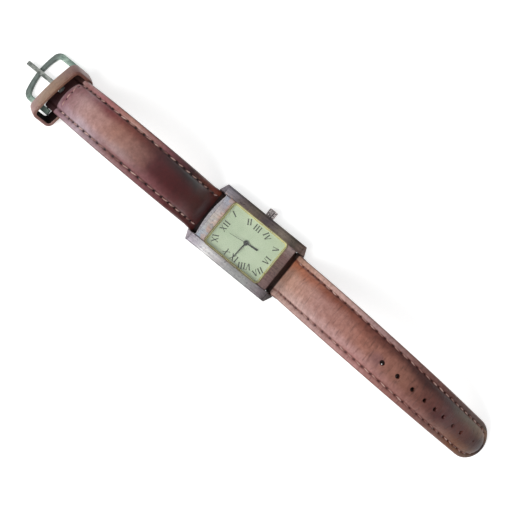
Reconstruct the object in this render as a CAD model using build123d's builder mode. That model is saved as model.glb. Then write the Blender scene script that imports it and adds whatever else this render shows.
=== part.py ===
"""A rectangular quartz wristwatch with a two-piece leather strap. Millimetres.

The origin is the middle of the case back, which lies on the table. +X points to 3 o'clock, +Y to 12 o'clock
and +Z out of the dial.
"""

from build123d import *
from math import asin, cos, pi, radians, sin, tan
import os

# Fits
sliding_gap = 0.05
shaft_gap = 0.04
free_gap = 0.1
eps = 0.01

# Case
lug_gap = 16.0
side_bar_width = 3.1
case_bottom = 0.3
case_top = 6.8
end_bar_top = 6.4
lug_tip_y = 17.4
lug_corner_y = 16.0
lug_slope_start_y = 15.3
lug_slope_drop = 2.6
case_chamfer = 0.5
end_bar_flat_y = 14.0
end_bar_lip_y = 15.2
end_bar_lip_z = 4.9
end_bar_wall_y = 14.1
end_bar_side_y = 14.2

# Case openings, from the back to the front
cavity_corner = 2.0
dial_corner = 1.0
dial_thickness = 0.35
dial_bottom = 4.4
glass_length = 22.2
glass_width = 16.6
glass_corner = 1.5
bezel_band = 0.65
bezel_top = 5.85
glass_gasket_band = 0.25
glass_top = 6.9
dial_inset = 0.5
dial_length = glass_length - 2 * dial_inset
dial_width = glass_width - 2 * dial_inset

# Case back
back_length = 22.6
back_width = 17.6
back_corner = 2.6
back_plate = 0.85
back_spigot = 0.25
back_gasket_band = 0.35
back_gasket_height = 0.3
back_screw_radius = 0.3
back_screw_head_radius = 0.55
back_screw_head = 0.35
back_screw_length = 2.2
back_screw_inset_x = 0.9
back_screw_inset_y = 0.95

# Spring bars
bar_y = 16.0
bar_z = 2.3
bar_radius = 0.75
bar_bore = 0.55
bar_end_gap = 0.5
bar_lip = 0.25
plunger_radius = 0.5
plunger_length = 1.0
pivot_radius = 0.35
pivot_reach = 0.8
pivot_hole_extra = 0.15
spring_radius = 0.45

# Strap leather
leather_top = 0.85
leather_filler = 0.8
leather_lining = 0.75
strap_side_gap = 0.35
bar_fold_radius = 1.6
fold_gap = 0.25
strap_full_width_y = 18.0

# Short half, 12 o'clock side
short_rise_angle = 55.0
short_straight = 11.0
short_peak_y = 46.0
short_fall_angle = 48.0
short_end_y = 77.0
short_end_width = 14.5
short_drift = 0.9
buckle_fold_radius = 1.5
tongue_slot_width = 2.4
tongue_slot_length = 5.5

# Long half, 6 o'clock side
long_rise_angle = 58.0
long_straight = 8.0
long_peak_y = 56.0
long_fall_angle = 43.0
long_end_y = 100.2
long_end_width = 13.5
long_drift = -3.6
long_tip_round_y = 93.0
holes_from_tip = (17.9, 23.6, 29.8, 34.3, 39.0, 44.2, 50.0, 55.7)
hole_line_offset = -0.6
hole_radius = 0.8

# Keeper loop
keeper_length = 5.2
keeper_wall = 1.1
keeper_inner_corner = 0.9
keeper_room_below = 0.35
keeper_room_above = 3.3
keeper_room_beside = 4.2
keeper_shift = -1.6
keeper_skew = -15.0
keeper_from_bar = 2.2

# Buckle
buckle_side_gap = 0.2
buckle_wire = 1.9
buckle_front_wire = 1.5
buckle_thickness = 1.7
buckle_reach = 9.9
buckle_bow = 1.5
buckle_corner = 3.0
buckle_ear = 1.3
buckle_rounding = 0.4
tongue_width = 1.5
tongue_thickness = 1.0
tongue_ring = 1.3
tongue_past_front = 4.2
tongue_clearance = 0.03
tongue_nose_length = 0.6
tongue_nose_back = 0.2
tongue_nose_shares = (0.9, 0.4)
tongue_seat = 0.5

# Crown
crown_radius = 1.6
crown_length = 2.6
crown_case_gap = 0.1
crown_recess_radius = 1.05
crown_recess = 0.95
crown_flutes = 12
crown_flute_radius = 0.27
stem_line = (-0.6, 3.1)
stem_radius = 0.4
stem_inner_end = 3.4
stem_into_crown = 1.6
tube_radius = 0.8
tube_inner_end = 8.5
tube_past_case = 0.35
gasket_ring_length = 0.4
pinion_start = 3.8
pinion_length = 1.1
pinion_radius = 0.8

# Movement levels, from the back
clamp_bottom = 1.2
clamp_thickness = 0.18
bridge_bottom = 1.42
bridge_thickness = 0.3
plate_bottom = 3.0
plate_top = 4.05
holder_bottom = 1.6

# Movement outline: the coil and the board set the length of the plate, and it sets the case's cavity
holder_wall = 0.85
holder_gap = 0.05
plate_edge = 0.15
coil_y = 5.6
coil_radius = 0.9
board_coil_gap = 0.25
board_width = 1.8
plate_length = 2 * (coil_y + coil_radius + board_coil_gap + board_width + plate_edge)
cavity_length = plate_length + 2 * holder_wall + 4 * holder_gap
plate_width = 12.6
cavity_width = plate_width + 2 * holder_wall + 4 * holder_gap
plate_corner = 1.8

# Battery
battery_x = 1.0
battery_radius = 2.9
battery_y = battery_radius + plate_edge - plate_length / 2
battery_height = 2.15

# Gear train: teeth and modules
train_module = 0.08
rotor_teeth = 6
intermediate_teeth = 30
intermediate_pinion_teeth = 10
seconds_teeth = 60
seconds_pinion_teeth = 8
third_teeth = 60
third_pinion_teeth = 8
centre_teeth = 64
motion_module = 0.1
cannon_teeth = 10
minute_teeth = 30
minute_pinion_teeth = 8
hour_teeth = 32
wheel_thickness = 0.15
level_gap = 0.05
arbor_end_room = 0.1
wheel_above_bridge = 0.23
pinion_step = 0.15
rotor_pinion_rise = 0.4
centre_wheel_step = 0.1
motion_recess = 0.4
cannon_foot_gap = 0.02
cannon_overlap = 0.02
hour_hand_rise = 0.25
minute_hand_rise = 0.32
seconds_hand_rise = 0.28
magnet_drop = 0.1
wheel_room = 0.2
minute_post_rise = 0.1
pinion_end_room = 0.1
pinion_height = 0.35
arbor_radius = 0.15
arbor_hole_depth = 0.2
third_angle = 200.0
intermediate_angle = 60.0
rotor_angle = 60.0
minute_wheel_angle = 150.0

os.makedirs("parts", exist_ok=True)


def save(piece, name):
    piece.part.label = name
    export_step(piece.part, "parts/" + name + ".step")


def disc(x, y, low, high, radius, hole=0.0):
    """Adds a round plate to the open part."""
    with BuildSketch(Plane((x, y, low))) as outline:
        Circle(radius)
        if hole:
            Circle(hole, mode=Mode.SUBTRACT)
    extrude(outline.sketch, amount=high - low)


def drill(x, y, low, high, radius):
    with BuildSketch(Plane((x, y, low))) as outline:
        Circle(radius)
    extrude(outline.sketch, amount=high - low, mode=Mode.SUBTRACT)


def rounded_plate(length, width, corner, low, high, mode=Mode.ADD):
    """Adds or cuts a plate with rounded corners, its length along Y."""
    with BuildSketch(Plane.XY.offset(low)) as outline:
        RectangleRounded(width, length, corner)
    extrude(outline.sketch, amount=high - low, mode=mode)


def toothed_disc(x, y, low, height, teeth, module, tooth_at):
    """Adds a gear whose first tooth points along the angle tooth_at."""
    pitch_radius = teeth * module / 2
    with BuildSketch(Plane((x, y, low))) as outline:
        Circle(pitch_radius - module)
        with PolarLocations(pitch_radius - module / 2, teeth, start_angle=tooth_at):
            Rectangle(2.6 * module, 0.42 * pi * module)
    extrude(outline.sketch, amount=height)


def meshed(angle, teeth):
    """The tooth angle of a gear that meets its neighbour's tooth from the far side."""
    return angle + 180 + 180 / teeth


def polar(x, y, distance, angle):
    return x + distance * cos(radians(angle)), y + distance * sin(radians(angle))


# Case body: two side bars that end in lugs, and a lower middle block with end bars
case_half_width = lug_gap / 2 + side_bar_width
with BuildPart() as case_body:
    with BuildSketch(Plane.XZ) as bar_section:
        with BuildLine():
            Polyline(
                (lug_gap / 2, case_bottom),
                (case_half_width - case_chamfer, case_bottom),
                (case_half_width, case_bottom + case_chamfer),
                (case_half_width, case_top - case_chamfer),
                (case_half_width - case_chamfer, case_top),
                (lug_gap / 2, case_top),
                close=True,
            )
        make_face()
    extrude(amount=lug_tip_y, both=True)
    with BuildSketch(Plane.XY):
        with BuildLine():
            Polyline(
                (0, -lug_tip_y),
                (lug_gap / 2, -lug_tip_y),
                (case_half_width, -lug_corner_y),
                (case_half_width, lug_corner_y),
                (lug_gap / 2, lug_tip_y),
                (0, lug_tip_y),
                close=True,
            )
        make_face()
    extrude(amount=case_top, mode=Mode.INTERSECT)
    with BuildSketch(Plane.YZ):
        with Locations((lug_tip_y, case_top)):
            Polygon(
                (0, eps),
                (lug_slope_start_y - lug_tip_y, eps),
                (eps, -lug_slope_drop),
                (eps, eps),
                align=None,
            )
        mirror(about=Plane.YZ)
    extrude(amount=case_half_width, mode=Mode.SUBTRACT)
    mirror(about=Plane.YZ)
    with BuildSketch(Plane.YZ):
        with BuildLine():
            Polyline(
                (0, case_bottom),
                (end_bar_wall_y, case_bottom),
                (end_bar_wall_y, bar_z),
                (end_bar_lip_y, bar_z + bar_fold_radius),
                (end_bar_lip_y, end_bar_lip_z),
                (end_bar_flat_y, end_bar_top),
                (0, end_bar_top),
                close=True,
            )
        make_face()
        mirror(about=Plane.YZ)
    extrude(amount=lug_gap / 2, both=True)
    with BuildSketch(Plane.XY.offset(case_bottom)):
        with BuildLine():
            ThreePointArc((-lug_gap / 2, end_bar_side_y), (0, end_bar_lip_y), (lug_gap / 2, end_bar_side_y))
            Polyline(
                (lug_gap / 2, end_bar_side_y),
                (lug_gap / 2, lug_tip_y),
                (-lug_gap / 2, lug_tip_y),
                (-lug_gap / 2, end_bar_side_y),
            )
        make_face()
        mirror(about=Plane.XZ)
    extrude(amount=case_top, mode=Mode.SUBTRACT)
    with BuildSketch(Plane.YZ):
        with Locations((bar_y, bar_z), (-bar_y, bar_z)):
            Circle(bar_fold_radius + fold_gap)
    extrude(amount=lug_gap / 2, both=True, mode=Mode.SUBTRACT)
    rounded_plate(cavity_length, cavity_width, cavity_corner, case_bottom - eps, dial_bottom, Mode.SUBTRACT)
    dial_seat = (dial_length + 2 * free_gap, dial_width + 2 * free_gap, dial_corner)
    glass_seat = (glass_length, glass_width, glass_corner)
    bezel_bottom = dial_bottom + dial_thickness
    rounded_plate(*dial_seat, dial_bottom, bezel_bottom, Mode.SUBTRACT)
    rounded_plate(*glass_seat, bezel_bottom, case_top + eps, Mode.SUBTRACT)
    back_seat = (back_length + 2 * free_gap, back_width + 2 * free_gap, back_corner)
    rounded_plate(*back_seat, case_bottom - eps, back_plate, Mode.SUBTRACT)
    gasket_inner = (cavity_length + back_gasket_band, cavity_width + back_gasket_band)
    gasket_outer = tuple(size + 2 * back_gasket_band for size in gasket_inner)
    gasket_top = back_plate + back_gasket_height
    with BuildSketch(Plane.XY.offset(back_plate)):
        RectangleRounded(gasket_outer[1], gasket_outer[0], cavity_corner)
    extrude(amount=back_gasket_height, mode=Mode.SUBTRACT)
    screw_x = back_width / 2 - back_screw_inset_x
    screw_y = back_length / 2 - back_screw_inset_y
    with BuildSketch(Plane.XY.offset(back_plate)):
        with GridLocations(2 * screw_x, 2 * screw_y, 2, 2):
            Circle(back_screw_radius)
    extrude(amount=back_screw_length - back_plate, mode=Mode.SUBTRACT)
    for side in (-1, 1):
        with BuildSketch(Plane.YZ.offset(side * lug_gap / 2)):
            with Locations((bar_y, bar_z), (-bar_y, bar_z)):
                Circle(pivot_radius + shaft_gap)
        extrude(amount=side * (pivot_reach + pivot_hole_extra), mode=Mode.SUBTRACT)
    with BuildSketch(Plane.YZ):
        with Locations(stem_line):
            Circle(stem_radius + free_gap)
    extrude(amount=case_half_width + eps, mode=Mode.SUBTRACT)
    with BuildSketch(Plane.YZ.offset(tube_inner_end)):
        with Locations(stem_line):
            Circle(tube_radius)
    extrude(amount=case_half_width, mode=Mode.SUBTRACT)
save(case_body, "case_body")

# Case back, its gasket and its screws
with BuildPart() as case_back:
    rounded_plate(back_length, back_width, back_corner, 0, back_plate)
    chamfer(case_back.faces().sort_by(Axis.Z)[0].edges(), 0.15)
    spigot = (cavity_length - 2 * free_gap, cavity_width - 2 * free_gap, cavity_corner)
    rounded_plate(*spigot, back_plate, back_plate + back_spigot)
    for x in (-screw_x, screw_x):
        for y in (-screw_y, screw_y):
            drill(x, y, 0, back_plate, back_screw_radius + shaft_gap)
            drill(x, y, 0, back_screw_head, back_screw_head_radius + shaft_gap)
save(case_back, "case_back")

with BuildPart() as case_back_gasket:
    with BuildSketch(Plane.XY.offset(back_plate)):
        RectangleRounded(gasket_outer[1], gasket_outer[0], cavity_corner)
        RectangleRounded(gasket_inner[1], gasket_inner[0], cavity_corner, mode=Mode.SUBTRACT)
    extrude(amount=back_gasket_height)
save(case_back_gasket, "case_back_gasket")

corner_names = {(-1, -1): "left_low", (1, -1): "right_low", (-1, 1): "left_high", (1, 1): "right_high"}
for (side_x, side_y), corner in corner_names.items():
    with BuildPart() as back_screw:
        x = side_x * screw_x
        y = side_y * screw_y
        disc(x, y, free_gap, back_screw_head, back_screw_head_radius)
        disc(x, y, back_screw_head, back_screw_length - free_gap, back_screw_radius - eps)
        with BuildSketch(Plane((x, y, free_gap))):
            Rectangle(2 * back_screw_head_radius, 0.2)
        extrude(amount=0.12, mode=Mode.SUBTRACT)
    save(back_screw, "case_back_screw_" + corner)

# Crystal, its gasket, the bezel ring and the dial
gasket_inner_glass = (glass_length - 2 * glass_gasket_band, glass_width - 2 * glass_gasket_band)
with BuildPart() as bezel_ring:
    with BuildSketch(Plane.XY.offset(bezel_bottom)):
        RectangleRounded(glass_width, glass_length, glass_corner)
        RectangleRounded(
            glass_width - 2 * bezel_band,
            glass_length - 2 * bezel_band,
            glass_corner - bezel_band,
            mode=Mode.SUBTRACT,
        )
    extrude(amount=bezel_top - bezel_bottom)
save(bezel_ring, "bezel_ring")

with BuildPart() as crystal_gasket:
    with BuildSketch(Plane.XY.offset(bezel_top)):
        RectangleRounded(glass_width, glass_length, glass_corner)
        RectangleRounded(
            gasket_inner_glass[1],
            gasket_inner_glass[0],
            glass_corner - glass_gasket_band,
            mode=Mode.SUBTRACT,
        )
    extrude(amount=case_top - bezel_top)
save(crystal_gasket, "crystal_gasket")

with BuildPart() as crystal:
    rounded_plate(*gasket_inner_glass, glass_corner - glass_gasket_band, bezel_top, glass_top)
    chamfer(crystal.faces().sort_by(Axis.Z)[-1].edges(), 0.15)
save(crystal, "crystal")

hour_pipe_radius = 0.62
cannon_radius = 0.42
seconds_bore = arbor_radius + shaft_gap
with BuildPart() as dial:
    rounded_plate(dial_length, dial_width, dial_corner, dial_bottom, bezel_bottom)
    drill(0, 0, dial_bottom, bezel_bottom, hour_pipe_radius + free_gap)
save(dial, "dial")

# Crown, stem, tube and sliding pinion, all about the line through 3 o'clock
crown_start = case_half_width + crown_case_gap


def turned(start, end, radius, hole=0.0):
    """Adds a round piece about the stem's line, between two places along X."""
    with BuildSketch(Plane.YZ.offset(start)) as outline:
        with Locations(stem_line):
            Circle(radius)
            if hole:
                Circle(hole, mode=Mode.SUBTRACT)
    extrude(outline.sketch, amount=end - start)


with BuildPart() as crown_tube:
    turned(tube_inner_end, case_half_width + tube_past_case, tube_radius, stem_radius + shaft_gap)
save(crown_tube, "crown_tube")

stem_end = crown_start + stem_into_crown
with BuildPart() as crown:
    turned(crown_start, crown_start + crown_length, crown_radius)
    fillet(crown.edges().filter_by(GeomType.CIRCLE).sort_by(Axis.X)[-1], 0.5)
    chamfer(crown.edges().filter_by(GeomType.CIRCLE).sort_by(Axis.X)[0], 0.3)
    with BuildSketch(Plane.YZ.offset(crown_start)):
        with Locations(stem_line):
            with PolarLocations(crown_radius, crown_flutes):
                Circle(crown_flute_radius)
    extrude(amount=crown_length, mode=Mode.SUBTRACT)
    with BuildSketch(Plane.YZ.offset(crown_start)):
        with Locations(stem_line):
            Circle(crown_recess_radius)
    extrude(amount=crown_recess, mode=Mode.SUBTRACT)
    with BuildSketch(Plane.YZ.offset(crown_start)):
        with Locations(stem_line):
            Circle(stem_radius)
    extrude(amount=stem_into_crown, mode=Mode.SUBTRACT)
save(crown, "crown")

with BuildPart() as stem:
    turned(stem_inner_end, stem_end, stem_radius)
save(stem, "stem")

with BuildPart() as crown_gasket:
    gasket_start = crown_start + crown_recess - gasket_ring_length
    turned(gasket_start, crown_start + crown_recess, crown_recess_radius, stem_radius)
save(crown_gasket, "crown_gasket")

with BuildPart() as sliding_pinion:
    turned(pinion_start, pinion_start + pinion_length, pinion_radius, stem_radius + shaft_gap)
    with BuildSketch(Plane.YZ.offset(pinion_start)):
        with Locations(stem_line):
            with PolarLocations(pinion_radius, 10):
                Circle(0.1)
    extrude(amount=pinion_length, mode=Mode.SUBTRACT)
save(sliding_pinion, "sliding_pinion")

# Movement: where the wheels turn
third_distance = train_module * (seconds_pinion_teeth + third_teeth) / 2
third_x, third_y = polar(0, 0, third_distance, third_angle)
intermediate_distance = train_module * (seconds_teeth + intermediate_pinion_teeth) / 2
intermediate_x, intermediate_y = polar(0, 0, intermediate_distance, intermediate_angle)
rotor_distance = train_module * (intermediate_teeth + rotor_teeth) / 2
rotor_x, rotor_y = polar(intermediate_x, intermediate_y, rotor_distance, rotor_angle)
motion_distance = motion_module * (cannon_teeth + minute_teeth) / 2
minute_wheel_x, minute_wheel_y = polar(0, 0, motion_distance, minute_wheel_angle)
centre_module = 2 * third_distance / (third_pinion_teeth + centre_teeth)

# Movement: levels of the wheels, from the back to the dial
bridge_top = bridge_bottom + bridge_thickness
arbor_low = bridge_bottom + arbor_end_room
arbor_high = plate_bottom + arbor_hole_depth - level_gap
seconds_wheel_z = bridge_top + wheel_above_bridge
intermediate_pinion_z = seconds_wheel_z - level_gap
seconds_pinion_z = seconds_wheel_z + wheel_thickness + level_gap
third_wheel_z = seconds_pinion_z + pinion_step
rotor_pinion_z = seconds_wheel_z + rotor_pinion_rise
intermediate_wheel_z = rotor_pinion_z + level_gap
third_pinion_z = third_wheel_z + wheel_thickness + pinion_step
centre_wheel_z = third_pinion_z + centre_wheel_step
motion_floor = plate_top - motion_recess
minute_wheel_z = motion_floor + level_gap
cannon_foot = motion_floor + cannon_foot_gap
hour_wheel_z = plate_top + level_gap
hour_hand_z = dial_bottom + dial_thickness + hour_hand_rise
hand_thickness = 0.12
minute_hand_z = hour_hand_z + minute_hand_rise
seconds_hand_z = minute_hand_z + seconds_hand_rise
arbor_hole = arbor_radius + shaft_gap

with BuildPart() as seconds_wheel:
    toothed_disc(0, 0, seconds_wheel_z, wheel_thickness, seconds_teeth, train_module, intermediate_angle)
    toothed_disc(0, 0, seconds_pinion_z, pinion_height, seconds_pinion_teeth, train_module, third_angle)
    disc(0, 0, arbor_low, seconds_hand_z, arbor_radius)
save(seconds_wheel, "seconds_wheel")

with BuildPart() as third_wheel:
    toothed_disc(
        third_x, third_y, third_wheel_z, wheel_thickness, third_teeth, train_module,
        meshed(third_angle, third_teeth),
    )
    toothed_disc(
        third_x, third_y, third_pinion_z, pinion_height, third_pinion_teeth, centre_module,
        meshed(third_angle, third_pinion_teeth),
    )
    disc(third_x, third_y, arbor_low, arbor_high, arbor_radius)
save(third_wheel, "third_wheel")

with BuildPart() as centre_wheel:
    toothed_disc(0, 0, centre_wheel_z, wheel_thickness, centre_teeth, centre_module, third_angle)
    disc(0, 0, centre_wheel_z, cannon_foot, cannon_radius)
    drill(0, 0, centre_wheel_z, cannon_foot, seconds_bore)
save(centre_wheel, "centre_wheel")

with BuildPart() as intermediate_wheel:
    toothed_disc(
        intermediate_x, intermediate_y, intermediate_pinion_z, pinion_height,
        intermediate_pinion_teeth, train_module, meshed(intermediate_angle, intermediate_pinion_teeth),
    )
    toothed_disc(
        intermediate_x, intermediate_y, intermediate_wheel_z, wheel_thickness,
        intermediate_teeth, train_module, rotor_angle,
    )
    disc(intermediate_x, intermediate_y, arbor_low, arbor_high, arbor_radius)
save(intermediate_wheel, "intermediate_wheel")

magnet_radius = 0.55
with BuildPart() as rotor:
    toothed_disc(
        rotor_x, rotor_y, rotor_pinion_z, pinion_height, rotor_teeth, train_module,
        meshed(rotor_angle, rotor_teeth),
    )
    disc(rotor_x, rotor_y, seconds_wheel_z - magnet_drop, rotor_pinion_z, magnet_radius)
    disc(rotor_x, rotor_y, arbor_low, arbor_high, arbor_radius)
save(rotor, "rotor")

with BuildPart() as cannon_pinion:
    toothed_disc(
        0, 0, minute_wheel_z - cannon_overlap, wheel_thickness + 2 * cannon_overlap, cannon_teeth,
        motion_module, minute_wheel_angle,
    )
    disc(0, 0, cannon_foot, minute_hand_z, cannon_radius)
    drill(0, 0, cannon_foot, minute_hand_z, seconds_bore)
save(cannon_pinion, "cannon_pinion")

minute_post_radius = 0.2
with BuildPart() as minute_wheel:
    toothed_disc(
        minute_wheel_x, minute_wheel_y, minute_wheel_z, wheel_thickness, minute_teeth, motion_module,
        meshed(minute_wheel_angle, minute_teeth),
    )
    toothed_disc(
        minute_wheel_x, minute_wheel_y, minute_wheel_z + wheel_thickness, pinion_height,
        minute_pinion_teeth, motion_module, minute_wheel_angle + 180,
    )
    drill(
        minute_wheel_x, minute_wheel_y, minute_wheel_z, plate_top + pinion_height,
        minute_post_radius + shaft_gap,
    )
save(minute_wheel, "minute_wheel")

with BuildPart() as hour_wheel:
    hour_tooth = meshed(minute_wheel_angle + 180, hour_teeth)
    toothed_disc(0, 0, hour_wheel_z, wheel_thickness, hour_teeth, motion_module, hour_tooth)
    disc(0, 0, hour_wheel_z, hour_hand_z, hour_pipe_radius)
    drill(0, 0, hour_wheel_z, hour_hand_z, cannon_radius + shaft_gap)
save(hour_wheel, "hour_wheel")

# Movement: frame and electrics
battery_bottom = bridge_bottom
coil_half_length = 2.9
coil_x = 0.65
core_half_length = 4.1
core_width = 0.7
core_height = 0.4
stator_z = seconds_wheel_z - level_gap
stator_thickness = 0.3
core_z = stator_z + stator_thickness
stator_leg_width = 0.7
stator_ring_radius = 0.88
magnet_gap = 0.1
pillars = ((-5.3, -3.3), (4.9, 2.0))
pillar_radius = 0.7
bridge_screw_radius = 0.25
bridge_screw_head = 0.18
bridge_screw_depth = 0.5
coil_room = 0.1

with BuildPart() as main_plate:
    rounded_plate(plate_length, plate_width, plate_corner, plate_bottom, plate_top)
    battery_room_top = battery_bottom + battery_height + level_gap
    drill(battery_x, battery_y, plate_bottom, battery_room_top, battery_radius + free_gap)
    with BuildSketch(Plane.XY.offset(plate_bottom)):
        with Locations((coil_x, coil_y)):
            Rectangle(2 * (coil_half_length + coil_room), 2 * (coil_radius + coil_room))
    extrude(amount=core_z + core_height / 2 + coil_radius + coil_room - plate_bottom, mode=Mode.SUBTRACT)
    with BuildSketch(Plane.XY.offset(plate_bottom)):
        with Locations((stem_inner_end - pinion_end_room, stem_line[0])):
            Rectangle(plate_width, 2 * (pinion_radius + free_gap), align=(Align.MIN, Align.CENTER))
    extrude(amount=plate_top - plate_bottom, mode=Mode.SUBTRACT)
    drill(0, 0, plate_bottom, plate_top, cannon_radius + shaft_gap)
    drill(0, 0, motion_floor, plate_top, cannon_teeth * motion_module / 2 + wheel_room)
    minute_room = minute_teeth * motion_module / 2 + wheel_room
    drill(minute_wheel_x, minute_wheel_y, motion_floor, plate_top, minute_room)
    disc(minute_wheel_x, minute_wheel_y, motion_floor, plate_top + minute_post_rise, minute_post_radius)
    for x, y in ((third_x, third_y), (intermediate_x, intermediate_y), (rotor_x, rotor_y)):
        drill(x, y, plate_bottom, plate_bottom + arbor_hole_depth, arbor_hole)
    screw_hole_top = plate_bottom + bridge_screw_depth + arbor_end_room
    drill(*pillars[0], plate_bottom, screw_hole_top, bridge_screw_radius + shaft_gap)
save(main_plate, "main_plate")

with BuildPart() as train_bridge:
    with BuildSketch(Plane.XY.offset(bridge_bottom)):
        for x, y, radius in (
            (0, 0, 1.0), (third_x, third_y, 0.9), (rotor_x, rotor_y, 0.8),
            (*pillars[0], pillar_radius), (*pillars[1], pillar_radius),
        ):
            with Locations((x, y)):
                Circle(radius)
        make_hull()
    extrude(amount=bridge_thickness)
    for x, y in pillars:
        disc(x, y, bridge_top, plate_bottom, pillar_radius)
    drill(*pillars[0], bridge_bottom, plate_bottom, bridge_screw_radius + shaft_gap)
    for x, y in ((0, 0), (third_x, third_y), (intermediate_x, intermediate_y), (rotor_x, rotor_y)):
        drill(x, y, bridge_bottom, bridge_top, arbor_hole)
save(train_bridge, "train_bridge")

with BuildPart() as bridge_screw:
    disc(*pillars[0], bridge_bottom - bridge_screw_head, bridge_bottom, 2 * bridge_screw_radius)
    disc(*pillars[0], bridge_bottom, plate_bottom + bridge_screw_depth, bridge_screw_radius)
save(bridge_screw, "bridge_screw")

with BuildPart() as stator:
    with BuildSketch(Plane.XY.offset(stator_z)):
        with Locations((coil_x, rotor_y)):
            Rectangle(2 * core_half_length, stator_leg_width)
        for side in (-1, 1):
            leg_x = coil_x + side * (core_half_length - stator_leg_width / 2)
            with Locations((leg_x, rotor_y)):
                Rectangle(
                    stator_leg_width,
                    coil_y + core_width / 2 - rotor_y,
                    align=(Align.CENTER, Align.MIN),
                )
        with Locations((rotor_x, rotor_y)):
            Circle(stator_ring_radius)
            Circle(magnet_radius + magnet_gap, mode=Mode.SUBTRACT)
    extrude(amount=stator_thickness)
save(stator, "stator")

with BuildPart() as coil_core:
    with BuildSketch(Plane.XY.offset(core_z)):
        with Locations((coil_x, coil_y)):
            Rectangle(2 * core_half_length, core_width)
    extrude(amount=core_height)
save(coil_core, "coil_core")

with BuildPart() as coil_winding:
    with BuildSketch(Plane.YZ.offset(coil_x)):
        with Locations((coil_y, core_z + core_height / 2)):
            Circle(coil_radius)
            Rectangle(core_width, core_height, mode=Mode.SUBTRACT)
    extrude(amount=coil_half_length, both=True)
save(coil_winding, "coil_winding")

board_x = 0.6
board_y = plate_length / 2 - plate_edge - board_width / 2
board_z = 2.3
board_thickness = 0.2
board_length = plate_width - 3.0
chip_x = 1.2
chip_length = 1.6
chip_width = 1.2
chip_height = 0.45
with BuildPart() as circuit_board:
    with BuildSketch(Plane.XY.offset(board_z)):
        with Locations((board_x, board_y)):
            Rectangle(board_length, board_width)
    extrude(amount=board_thickness)
save(circuit_board, "circuit_board")

with BuildPart() as chip:
    with BuildSketch(Plane.XY.offset(board_z - chip_height)):
        with Locations((chip_x, board_y)):
            Rectangle(chip_length, chip_width)
    extrude(amount=chip_height)
save(chip, "chip")

quartz_radius = 0.6
quartz_length = 4.2
quartz_x = 1.0 - plate_width / 2
quartz_start_y = 2.4
with BuildPart() as quartz_can:
    with BuildSketch(Plane.XZ.offset(-quartz_start_y)):
        with Locations((quartz_x, plate_bottom - quartz_radius - shaft_gap)):
            Circle(quartz_radius)
    extrude(amount=-quartz_length)
save(quartz_can, "quartz_can")

with BuildPart() as battery:
    disc(battery_x, battery_y, battery_bottom, battery_bottom + battery_height, battery_radius)
    fillet(battery.edges().sort_by(Axis.Z)[0], 0.2)
save(battery, "battery")

clamp_reach = 0.6
clamp_half_length = battery_radius + clamp_reach
clamp_half_width = 0.8
with BuildPart() as battery_clamp:
    with BuildSketch(Plane.XZ.offset(-battery_y)):
        with BuildLine():
            foot = clamp_half_length - clamp_thickness
            left = battery_x - clamp_half_length
            right = battery_x + clamp_half_length
            Polyline(
                (left, plate_bottom),
                (left, clamp_bottom),
                (right, clamp_bottom),
                (right, plate_bottom),
                (battery_x + foot, plate_bottom),
                (battery_x + foot, clamp_bottom + clamp_thickness),
                (battery_x - foot, clamp_bottom + clamp_thickness),
                (battery_x - foot, plate_bottom),
                close=True,
            )
        make_face()
    extrude(amount=clamp_half_width, both=True)
save(battery_clamp, "battery_clamp")

with BuildPart() as movement_holder:
    holder_length = cavity_length - 2 * holder_gap
    holder_width = cavity_width - 2 * holder_gap
    rounded_plate(holder_length, holder_width, cavity_corner, holder_bottom, dial_bottom)
    inner = (plate_length + 2 * holder_gap, plate_width + 2 * holder_gap, plate_corner)
    rounded_plate(*inner, holder_bottom, dial_bottom, Mode.SUBTRACT)
    with BuildSketch(Plane.YZ):
        with Locations(stem_line):
            Circle(stem_radius + free_gap)
    extrude(amount=case_half_width, mode=Mode.SUBTRACT)
save(movement_holder, "movement_holder")

# Hands: a collar on its pipe and a blade that points along an angle clockwise from 12
hour_hand_angle = 174.0
hour_hand_length = 4.3
hour_hand_root = 0.16
hour_hand_end = 0.27
hour_collar = 0.8
minute_hand_angle = 274.0
minute_hand_length = 5.6
minute_hand_root = 0.22
minute_hand_end = 0.09
minute_collar = 0.6
seconds_hand_angle = 352.0
seconds_hand_length = 6.2
seconds_hand_tail = 1.4
seconds_hand_root = 0.05
seconds_hand_end = 0.035
seconds_collar = 0.36


def hand_plane(clockwise, height):
    return Plane((0, 0, height), x_dir=(sin(radians(clockwise)), cos(radians(clockwise)), 0))


with BuildPart() as hour_hand:
    with BuildSketch(hand_plane(hour_hand_angle, hour_hand_z)):
        Circle(hour_collar)
        with BuildLine():
            Polyline(
                (0, -hour_hand_root),
                (hour_hand_length, -hour_hand_end),
                (hour_hand_length, hour_hand_end),
                (0, hour_hand_root),
                close=True,
            )
        make_face()
        Circle(cannon_radius + shaft_gap, mode=Mode.SUBTRACT)
    extrude(amount=hand_thickness)
save(hour_hand, "hour_hand")

with BuildPart() as minute_hand:
    with BuildSketch(hand_plane(minute_hand_angle, minute_hand_z)):
        Circle(minute_collar)
        with BuildLine():
            Polyline(
                (0, -minute_hand_root),
                (minute_hand_length, -minute_hand_end),
                (minute_hand_length, minute_hand_end),
                (0, minute_hand_root),
                close=True,
            )
        make_face()
        Circle(seconds_bore, mode=Mode.SUBTRACT)
    extrude(amount=hand_thickness)
save(minute_hand, "minute_hand")

with BuildPart() as seconds_hand:
    with BuildSketch(hand_plane(seconds_hand_angle, seconds_hand_z)):
        Circle(seconds_collar)
        with BuildLine():
            Polyline(
                (-seconds_hand_tail, -seconds_hand_root),
                (seconds_hand_length, -seconds_hand_end),
                (seconds_hand_length, seconds_hand_end),
                (-seconds_hand_tail, seconds_hand_root),
                close=True,
            )
        make_face()
    extrude(amount=hand_thickness)
save(seconds_hand, "seconds_hand")


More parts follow.
